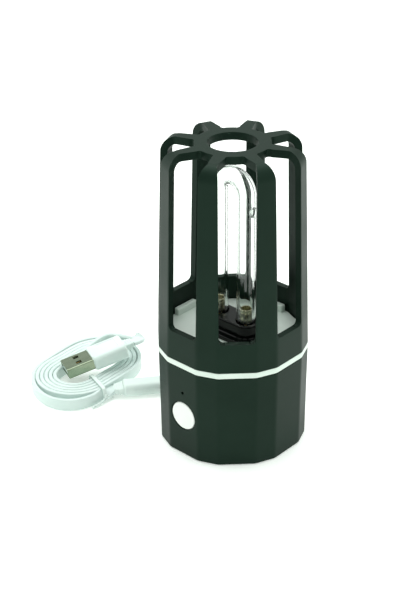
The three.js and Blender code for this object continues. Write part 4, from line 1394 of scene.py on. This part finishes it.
def placeTube():
    line = tubeLine(tube["low"])
    side = Vector((0, 1, 0))
    rings = []
    steps = range(tube["sides"])
    for radius, order in [(tube["radius"], 1), (tube["radius"] - tube["wall"], -1)]:
        skin = []
        for place, ahead in zip(line, tangents(line)):
            thick = ahead.cross(side)
            skin.append([place + radius * (side * math.cos(math.tau * i / len(steps))
                                           + thick * math.sin(math.tau * i / len(steps))) for i in steps])
        rings += skin[::order]
    piece = skinned("uv_tube", rings, False, True)
    wide, tall, wall = tube["nipple"]
    turns = [math.pi * i / 14 for i in range(15)]
    tip, bubble = [lathe("tool", [((wide - inset) * math.sin(turn), -(tall - inset) * math.cos(turn))
                                  for turn in turns], 32) for inset in (0, wall)]
    place = Matrix.Translation((tube["legX"], 0, tube["high"] - tube["nippleBelowTop"]))
    lean = Matrix.Rotation(math.radians(tube["nippleTurn"]), 4, "Z")
    outwards = Matrix.Translation((tube["radius"] + tube["nippleProud"], 0, 0))
    for each in (tip, bubble):
        each.data.transform(place @ lean @ outwards)
    hollow = barTool(tube["radius"] - tube["wall"], -20 * mm, 20 * mm, tube["sides"], (tube["legX"], 0))
    hollow.data.transform(Matrix.Translation((0, 0, tube["high"] - tube["nippleBelowTop"])))
    combined(tip, [hollow], "DIFFERENCE")
    combined(piece, [tip], "UNION")
    combined(piece, [bubble], "DIFFERENCE")
    shaded(piece, materials["lamp_glass"], 60, False)
    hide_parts("quartz_tube")
    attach(piece, "lamp")
    print("tube made,", len(piece.data.polygons), "faces")


cup = {
    "radius": 2.35 * mm,
    "wall": 0.35 * mm,
    "groove": 0.1 * mm,
}


def placeCups():
    for name, node, side in [("cup_left", "electrode_cup_left", -1),
                             ("cup_right", "electrode_cup_right", 1)]:
        low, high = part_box(node)[0].z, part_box(node)[1].z
        reach, wall = cup["radius"], cup["wall"]
        profile = [(0, low)] + arc(reach - 1 * mm, low + 1 * mm, 1 * mm, 270, 360, 6)
        profile += [(reach, high - 1.5 * mm), (reach - cup["groove"], high - 1.3 * mm),
                    (reach, high - 1.1 * mm)]
        profile += arc(reach - wall / 2, high - wall / 2, wall / 2, 0, 180, 8)
        profile += [(reach - wall, low + 1.1 * mm), (reach - wall - 0.3 * mm, low + 0.8 * mm),
                    (0, low + 0.7 * mm)]
        piece = lathe(name, profile, 72, (side * tube["legX"], 0))
        shaded(piece, materials["electrode_nickel"], 50, False)
        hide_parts(node)
        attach(piece, "lamp")
    for name, node, side in [("pin_left", "electrode_pin_left", -1),
                             ("pin_right", "electrode_pin_right", 1)]:
        low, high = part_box(node)[0].z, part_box(node)[1].z
        profile = [(0, low), (0.3 * mm, low), (0.5 * mm, low + 0.25 * mm), (0.5 * mm, high - 0.15 * mm),
                   (0.35 * mm, high), (0, high)]
        piece = lathe(name, profile, 32, (side * tube["legX"], 0))
        shaded(piece, materials["gold_pin"], 50, False)
        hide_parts(node)
        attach(piece, "lamp")
    print("electrode cups and pins made")


# The push button.
button = {
    "radius": 5.85 * mm,
    "flange": 6.95 * mm,
    "stem": 1.8 * mm,
    "crown": 0.28 * mm,
    "flangeThickness": 1.2 * mm,
    "edge": 0.5 * mm,
}


def placeButton():
    low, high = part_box("button_cap")
    face, back = -low.y, -high.y
    reach, crown, edge = button["radius"], button["crown"], button["edge"]
    thickness = button["flangeThickness"]
    z = (low.z + high.z) / 2
    wallInside = tubDistance(z) - tub["wall"] - 0.4 * mm
    profile = [(0, back), (button["stem"] - 0.3 * mm, back), (button["stem"], back + 0.3 * mm),
               (button["stem"], wallInside - thickness), (button["flange"], wallInside - thickness),
               (button["flange"], wallInside), (reach, wallInside)]
    profile += arc(reach - edge, face - crown - edge, edge, 0, 80, 6)
    for i in range(1, 13):
        share = 1 - i / 12
        profile.append(((reach - edge) * share, face - crown * share ** 2))
    piece = alongY(profile, 0, z, 96, "button_dome")
    shaded(piece, materials["white_plastic"], 45, False)
    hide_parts("button_cap")
    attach(piece, "button")
    print("button made")


# Screws and feet, drawn once and set on the four posts by the node tree.
screw = {
    "head": 2.1 * mm,
    "headHeight": 1.5 * mm,
    "shank": 1.15 * mm,
    "length": 17 * mm,
    "turns": 14,
    "slotHalf": 0.22 * mm,
    "slotReach": 0.62,                # a share of the head's radius
}

rubberFoot = {
    "radius": 4.8 * mm,
    "flat": 4.3 * mm,
    "edge": 0.5 * mm,
    "height": 1.4 * mm,
}


def crossSlot(radius, depth):
    half, reach = screw["slotHalf"], screw["slotReach"]
    arms = []
    for turn in (0, math.pi / 2):
        place = Matrix.Rotation(turn, 4, "Z")
        arms.append(boxTool(place, (-radius * reach, -half, -depth), (radius * reach, half, depth)))
    return arms


def screwBlank():
    head, headHeight, shank = screw["head"], screw["headHeight"], screw["shank"]
    profile = [(0, 0), (head * 0.72, 0), (head * 0.92, headHeight * 0.22), (head, headHeight * 0.5),
               (head, headHeight)]
    z = headHeight
    profile += [(shank * 0.82, z)]
    pitch = (screw["length"] - 1.5 * shank) / screw["turns"]
    for i in range(screw["turns"]):
        profile += [(shank * 0.82, z + pitch * 0.2), (shank, z + pitch * 0.5),
                    (shank * 0.82, z + pitch * 0.8)]
        z += pitch
    profile += [(shank * 0.8, z), (0, z + 1.5 * shank)]
    return combined(lathe("screw", profile, 32), crossSlot(head, headHeight * 0.5), "DIFFERENCE")


def placeScrews():
    blank = screwBlank()
    blank.data.transform(Matrix.Translation((0, 0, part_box("deck_screw_1")[0].z)))
    firstTurn = tub["postTurns"][0]
    piece = roundTheAxis("deck_screws", blank, 4, materials["plated_steel"], tub["postReach"], firstTurn)
    shaded(piece, materials["plated_steel"], 35)
    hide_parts("deck_screw_1", "deck_screw_2", "deck_screw_3", "deck_screw_4")
    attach(piece, "lamp")
    edge, height = rubberFoot["edge"], rubberFoot["height"]
    foot = lathe("foot", [(0, 0)] + arc(rubberFoot["flat"], edge, edge, 270, 360, 6)
                 + [(rubberFoot["radius"], height), (0, height)], 56)
    feet = roundTheAxis("rubber_feet", foot, 4, materials["grey_rubber"], tub["postReach"], firstTurn)
    shaded(feet, materials["grey_rubber"], 35)
    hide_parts("rubber_foot_1", "rubber_foot_2", "rubber_foot_3", "rubber_foot_4")
    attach(feet, "lamp")
    print("screws and feet made")


# The pieces on the board keep their shapes and take a finish each.
finishes = {
    "switch_plunger": "black_resin",
    "tact_switch": "black_resin",
    "light_pipe": "clear_resin",
    "indicator_led": "white_plastic",
    "cell_pad": "grey_foam",
    "battery_cell": "cell_wrap",
    "main_board": "board_green",
    "board_screw_1": "plated_steel",
    "board_screw_2": "plated_steel",
    "usb_socket": "plated_steel",
    "transformer_core": "ferrite_grey",
    "transformer_winding": "yellow_tape",
    "controller_chip": "black_resin",
    "filter_capacitor": "black_resin",
    "film_capacitor": "yellow_tape",
    "lamp_wire_left": "wire_white",
    "lamp_wire_right": "wire_white",
    "cell_wire_red": "wire_red",
    "cell_wire_black": "wire_black",
    "holder_screw_1": "plated_steel",
    "holder_screw_2": "plated_steel",
}


def finishNodes():
    for node, finish in finishes.items():
        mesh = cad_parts[node].data
        mesh.materials.clear()
        mesh.materials.append(materials[finish])
    print(len(finishes), "inner pieces finished")


# Everything in order.
mouldGrain = mouldGrainGroup()
drawnLines = drawnLinesGroup()
materials = makeMaterials()
axisTree = ringTree()
makeCamera()
makeStudio()
placeLead()
placeCage()
placeTub()
placeDeck()
placeHolder()
placeTube()
placeCups()
placeButton()
placeScrews()
finishNodes()
